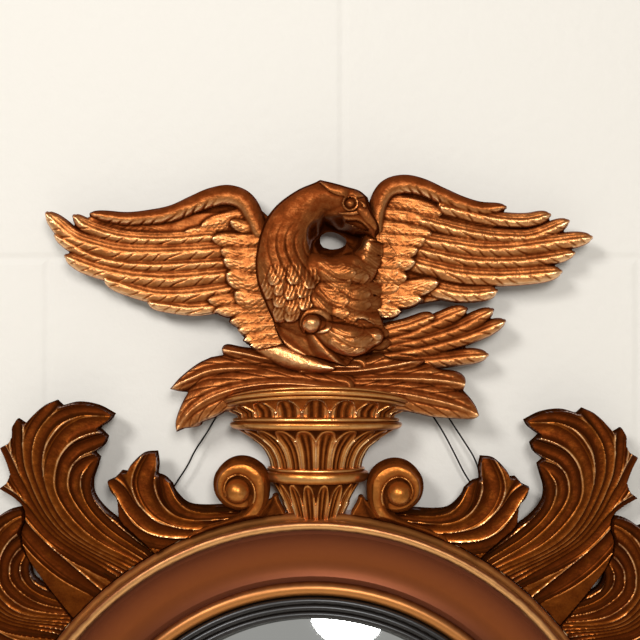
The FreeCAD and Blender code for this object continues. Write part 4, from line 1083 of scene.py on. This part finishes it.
def beside_palmette(x, z):
    """Left of the palmette, clear of the ring."""
    return np.minimum(clear_of_ring(x, z), -x - 57.5)


low_hollows = [(np.array(p) * [1, -1], w, h) for p, w, h in inner_hollows]
low_mesh = leaf_mesh(hollow_rows(low_hollows), inner_outline * [1, -1], 3.0, beside_palmette)
make_pair("apron_leaf", low_mesh, leaf_gilding, 0)

# %% [markdown]
# ## Hanging wire
# A dark annealed wire runs from one screw eye over the wall hook to the other. Its route follows the
# measured model: arcs round the eyes and the hook, and runs between them, here with slight bends.

# %% wire route
wire_radius, wire_depth = 0.6, 8.5
hook, hook_radius = np.array([10.0, 385.0]), 3.0
left_eye, right_eye = np.array([-104.5, 213.0]), np.array([120.5, 215.0])
eye_radius, eye_wire, short_end = 4.0, 1.2, 12.0
tail_corner, tail_end, tail_bend = np.array([110.0, 251.0]), np.array([84.0, 291.0]), 45.0


def unit(v):
    return v / np.hypot(*v)


def right_of(run):
    return np.array([run[1], -run[0]])


def touching_normal(start, end, start_reach, end_reach, side):
    """Unit normal of a straight run that passes start_reach from one point and end_reach from another."""
    run = unit(end - start)
    lean = (start_reach - end_reach) / np.hypot(*(end - start))
    return side * math.sqrt(1 - lean ** 2) + run * lean


def arc(centre, first, last, radius, steps=9):
    """Points on the shorter arc between two unit directions from a centre, or the half turn they leave."""
    a0, a1 = math.atan2(first[1], first[0]), math.atan2(last[1], last[0])
    turn = (a1 - a0 + math.pi) % (2 * math.pi) - math.pi
    a = a0 + turn * np.linspace(0, 1, steps)
    return centre + radius * np.stack([np.cos(a), np.sin(a)], 1)


eye_bend, over = eye_wire + wire_radius + 0.1, hook_radius + wire_radius
left_run, right_run = unit(hook - left_eye), unit(hook - right_eye)
left_top, right_top = left_eye + left_run * eye_radius, right_eye + right_run * eye_radius
left_out = touching_normal(left_top, hook, eye_bend, over, -right_of(left_run))
right_out = touching_normal(right_top, hook, -eye_bend, over, right_of(right_run))
left_pull, right_pull = right_of(left_out), -right_of(right_out)
tail_out = touching_normal(right_top, tail_corner, eye_bend, 0, right_of(unit(tail_corner - right_top)))
tail_run = -right_of(tail_out)
left_in = left_top - left_out * eye_bend
first, second = unit(tail_corner - (right_top + tail_out * eye_bend)), unit(tail_end - tail_corner)
turn = math.acos(np.clip(first @ second, -1, 1))
trim = tail_bend * math.tan(turn / 2)
bend_start, bend_stop = tail_corner - first * trim, tail_corner + second * trim
bend_side = unit(second - first)
bend_middle = tail_corner + bend_side * tail_bend / math.cos(turn / 2)
lower_left = unit(-left_pull)
lower_right = unit(-(right_pull + tail_run))


def bent_run(start, end, out, bends):
    """Points along a run that bends out from its straight line, given as (share of the run, millimetres)."""
    return np.array([start + (end - start) * share + out * bend for share, bend in bends])


left_bends = [(0.10, 0.4), (0.17, 0.2), (0.22, 1.9), (0.30, 1.5), (0.36, 2.4), (0.60, 2.0)]
right_bends = [(0.40, 2.0), (0.62, 2.0), (0.70, 2.8), (0.80, 1.4), (0.86, 0.2), (0.92, 0.6)]
route = np.vstack([
    left_in + left_pull * short_end,
    left_in + left_pull * short_end * 0.5,
    arc(left_top, -left_out, lower_left, eye_bend, 6),
    arc(left_top, lower_left, left_out, eye_bend, 6)[1:],
    bent_run(left_top + left_out * eye_bend, hook + left_out * over, left_out, left_bends),
    arc(hook, left_out, right_out, over),
    bent_run(hook + right_out * over, right_top - right_out * eye_bend, right_out, right_bends),
    arc(right_top, -right_out, lower_right, eye_bend, 6),
    arc(right_top, lower_right, tail_out, eye_bend, 6)[1:],
    (right_top + tail_out * eye_bend + bend_start) / 2,
    arc(bend_middle, unit(bend_start - bend_middle), unit(bend_stop - bend_middle), tail_bend, 7),
    (bend_stop + tail_end) / 2,
    tail_end,
])

# %% wire
curve = bpy.data.curves.new("hanging_wire_strand", "CURVE")
curve.dimensions = "3D"
point_radius = 1 * MM
curve.bevel_depth = wire_radius * MM / point_radius
curve.bevel_resolution = 3
curve.use_fill_caps = True
line = curve.splines.new("NURBS")
line.points.add(len(route) - 1)
ones = np.ones(len(route))
places = np.stack([route[:, 0] * MM, -wire_depth * MM * ones, route[:, 1] * MM, ones], 1)
line.points.foreach_set("co", places.ravel())
line.points.foreach_set("radius", point_radius * ones)
line.order_u = 3
line.use_endpoint_u = True
line.resolution_u = 6
wire = bpy.data.objects.new("hanging_wire_strand", curve)
bpy.context.scene.collection.objects.link(wire)
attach(wire, "frame")
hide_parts("hanging_wire")

# %% [markdown]
# ## Plain finishes
# The glass is silvered behind, so it is a nearly perfect mirror. The slip is ebonised wood with a
# satin polish. Battens, blocks and dowels are bare wood, the back is hardboard, and the fittings are
# brass and zinc-plated steel.


# %% plain finishes
def plain(name, colour, metallic, roughness, grain=None):
    """One even finish; grain gives a second colour in streaks along z, about 3 mm apart."""
    material = new_material(name)
    base = linear(colour)
    if grain is not None:
        place = add(material, "TexCoord").outputs["Object"]
        stretch = add(material, "Mapping", {"Vector": place, "Scale": (1.0, 1.0, 0.08)})
        base = add(material, "ValToRGB", {"Fac": noise(material, stretch, 3, 3.0)})
        set_ramp(base, [(0.3, colour), (0.7, grain)])
    shader = add(material, "BsdfPrincipled", {
        "Base Color": base, "Metallic": metallic, "Roughness": roughness})
    return finish_surface(material, shader)


def dress(names, material):
    """Give the named solids of the measured model one material."""
    for name in names:
        for slot in nodes[name].material_slots:
            slot.material = material


buttons = ["turn_button_%d" % i for i in (1, 2, 3, 4)]
finishes = [
    (["mirror_glass"], "silvered_glass", "#eef0ee", 1.0, 0.02),
    (["reeded_slip"], "ebonised_wood", "#17120f", 0.0, 0.32),
    (["glass_cushion"], "felt", "#4a453f", 0.0, 0.95),
    (["glass_blocks", "crest_batten"], "pine", "#b98f5f", 0.0, 0.7, "#9d7446"),
    (["root_dowels", "leaf_dowels"], "beech", "#c8a274", 0.0, 0.65, "#b98d5d"),
    (["backboard"], "hardboard", "#7a5638", 0.0, 0.8, "#6d4a2e"),
    (buttons + ["left_screw_eye", "right_screw_eye"], "brass", "#c9a25a", 1.0, 0.35),
    (["turn_button_screws", "batten_screws"], "zinc_plate", "#b4b4b0", 1.0, 0.4),
]
for names, *finish in finishes:
    dress(names, plain(*finish))
curve.materials.append(plain("annealed_wire", "#1d1a18", 0.8, 0.55))


# %% ring finish
def ring_gilding():
    """The same gilding on turned wood: bands round the ring's axis, bright on the beads, brown between."""
    material = new_material("ring_gilding")
    place = add(material, "TexCoord").outputs["Object"]
    parts = add(material, "SeparateXYZ", {0: place})
    flat = add(material, "CombineXYZ", {"X": parts.outputs["X"], "Y": parts.outputs["Z"]})
    radius = add(material, "VectorMath", {0: flat}, operation="LENGTH").outputs["Value"]
    inner, outer, wander = 150, 220, 0.03
    share = add(material, "MapRange", {"Value": radius, "From Min": inner * MM, "From Max": outer * MM})
    patches = noise(material, place, 7, 3.0)
    level = add(material, "Math", {0: patches, 1: wander, 2: share}, operation="MULTIPLY_ADD")
    colour = add(material, "ValToRGB", {"Fac": level})
    bands = [(158, "#6b3110"), (165, "#c07c3e"), (171, "#54240a"), (186, "#87451a"), (202, "#6b3110"),
             (206, "#54240a"), (208.5, "#e0a565"), (211.5, "#6b3110"), (214, "#c07c3e"), (216.5, "#7a3c14")]
    set_ramp(colour, [((r - inner) / (outer - inner), hex_colour) for r, hex_colour in bands])
    shader = add(material, "BsdfPrincipled", {"Base Color": colour, "Metallic": 0.7, "Roughness": 0.36})
    return finish_surface(material, shader)


dress(["frame_ring"], ring_gilding())

# %% [markdown]
# ## Stage, light and camera
# The mirror hangs on a wall of concrete blocks painted white, whose joints show faintly. The wall is
# clear from behind, so that views from there show the back, and wall and floor cast no shadow. Two
# soft lamps stand above and in front, a third lights the back, and the camera looks straight on.


# %% wall and floor
def sheet(name, corners, material):
    """A four-cornered surface of the stage."""
    mesh = bpy.data.meshes.new(name)
    mesh.from_pydata(corners, [], [(0, 1, 2, 3)])
    mesh.materials.append(material)
    thing = bpy.data.objects.new(name, mesh)
    bpy.context.scene.collection.objects.link(thing)
    thing.visible_shadow = False


def painted_wall():
    """White emulsion on concrete block: matt, faintly rough, with painted joints; clear from behind."""
    material = new_material("painted_wall")
    place = add(material, "TexCoord").outputs["Object"]
    block, course, joint, joint_x, joint_z = (v * MM for v in (406.4, 203.2, 5, -182.9, 387.3))
    rough = add(material, "Bump", {
        "Height": noise(material, place, 9, 4.0), "Strength": 0.3, "Distance": 1.5 * MM})
    bond = add(material, "Mapping", {
        "Vector": place, "Location": (-joint_x, -joint_z, 0), "Rotation": (-math.pi / 2, 0, 0)})
    joints = add(material, "TexBrick", {
        "Vector": bond, "Scale": 1.0, "Brick Width": block, "Row Height": course, "Mortar Size": joint,
        "Mortar Smooth": 1.0})
    jointed = add(material, "Bump", {
        "Height": joints.outputs["Fac"], "Distance": 0.6 * MM, "Normal": rough}, invert=True)
    paint = add(material, "BsdfPrincipled", {
        "Base Color": linear("#d8d3ca"), "Roughness": 0.7, "Normal": jointed})
    behind = add(material, "NewGeometry").outputs["Backfacing"]
    both = add(material, "MixShader", {0: behind, 1: paint, 2: add(material, "BsdfTransparent")})
    return finish_surface(material, both)


wall_y, wall_top, wide, floor_z = 0.0015, 2.2, 3.0, -0.9
sheet("wall", [(-wide, wall_y, floor_z), (wide, wall_y, floor_z), (wide, wall_y, wall_top),
               (-wide, wall_y, wall_top)], painted_wall())
sheet("floor", [(-wide, -wide, floor_z), (wide, -wide, floor_z), (wide, wide, floor_z),
                (-wide, wide, floor_z)], plain("pale_floor", "#e4e1db", 0.0, 0.7))


# %% lamps
def lamp(name, place, size, power):
    """A round area lamp, size metres across and power watts strong, that points at the crest."""
    light = bpy.data.lights.new(name, "AREA")
    light.shape, light.size, light.energy = "DISK", size, power
    thing = bpy.data.objects.new(name, light)
    thing.location = place
    direction = np.array(lamp_aim) - np.array(place)
    flat = math.hypot(direction[0], direction[1])
    thing.rotation_euler = (math.atan2(flat, -direction[2]), 0, math.atan2(-direction[0], direction[1]))
    bpy.context.scene.collection.objects.link(thing)


lamp_aim = (0.0, 0.0, 0.3)
lamp("left_lamp", (-0.9, -1.7, 1.15), 0.55, 22)
lamp("front_lamp", (0.25, -2.0, 0.85), 0.6, 22)
lamp("rear_lamp", (0.5, 2.0, 0.6), 1.2, 16)
world = bpy.data.worlds.new("studio")
world.use_nodes = True
background = world.node_tree.nodes["Background"]
background.inputs["Color"].default_value = linear("#d8d6d2")
background.inputs["Strength"].default_value = 0.5
bpy.context.scene.world = world

# %% camera
camera_distance, wall_width, sensor = 0.9, 0.440, 36.0
view = bpy.data.cameras.new("front_view")
view.sensor_width = sensor
view.lens = sensor * camera_distance / wall_width
camera = bpy.data.objects.new("front_view", view)
camera.location = (0.0045, -camera_distance, 0.345)
camera.rotation_euler = (math.pi / 2, 0, 0)
bpy.context.scene.collection.objects.link(camera)
bpy.context.scene.camera = camera
bpy.context.scene.view_settings.view_transform = "Standard"


bpy.context.view_layer.update()
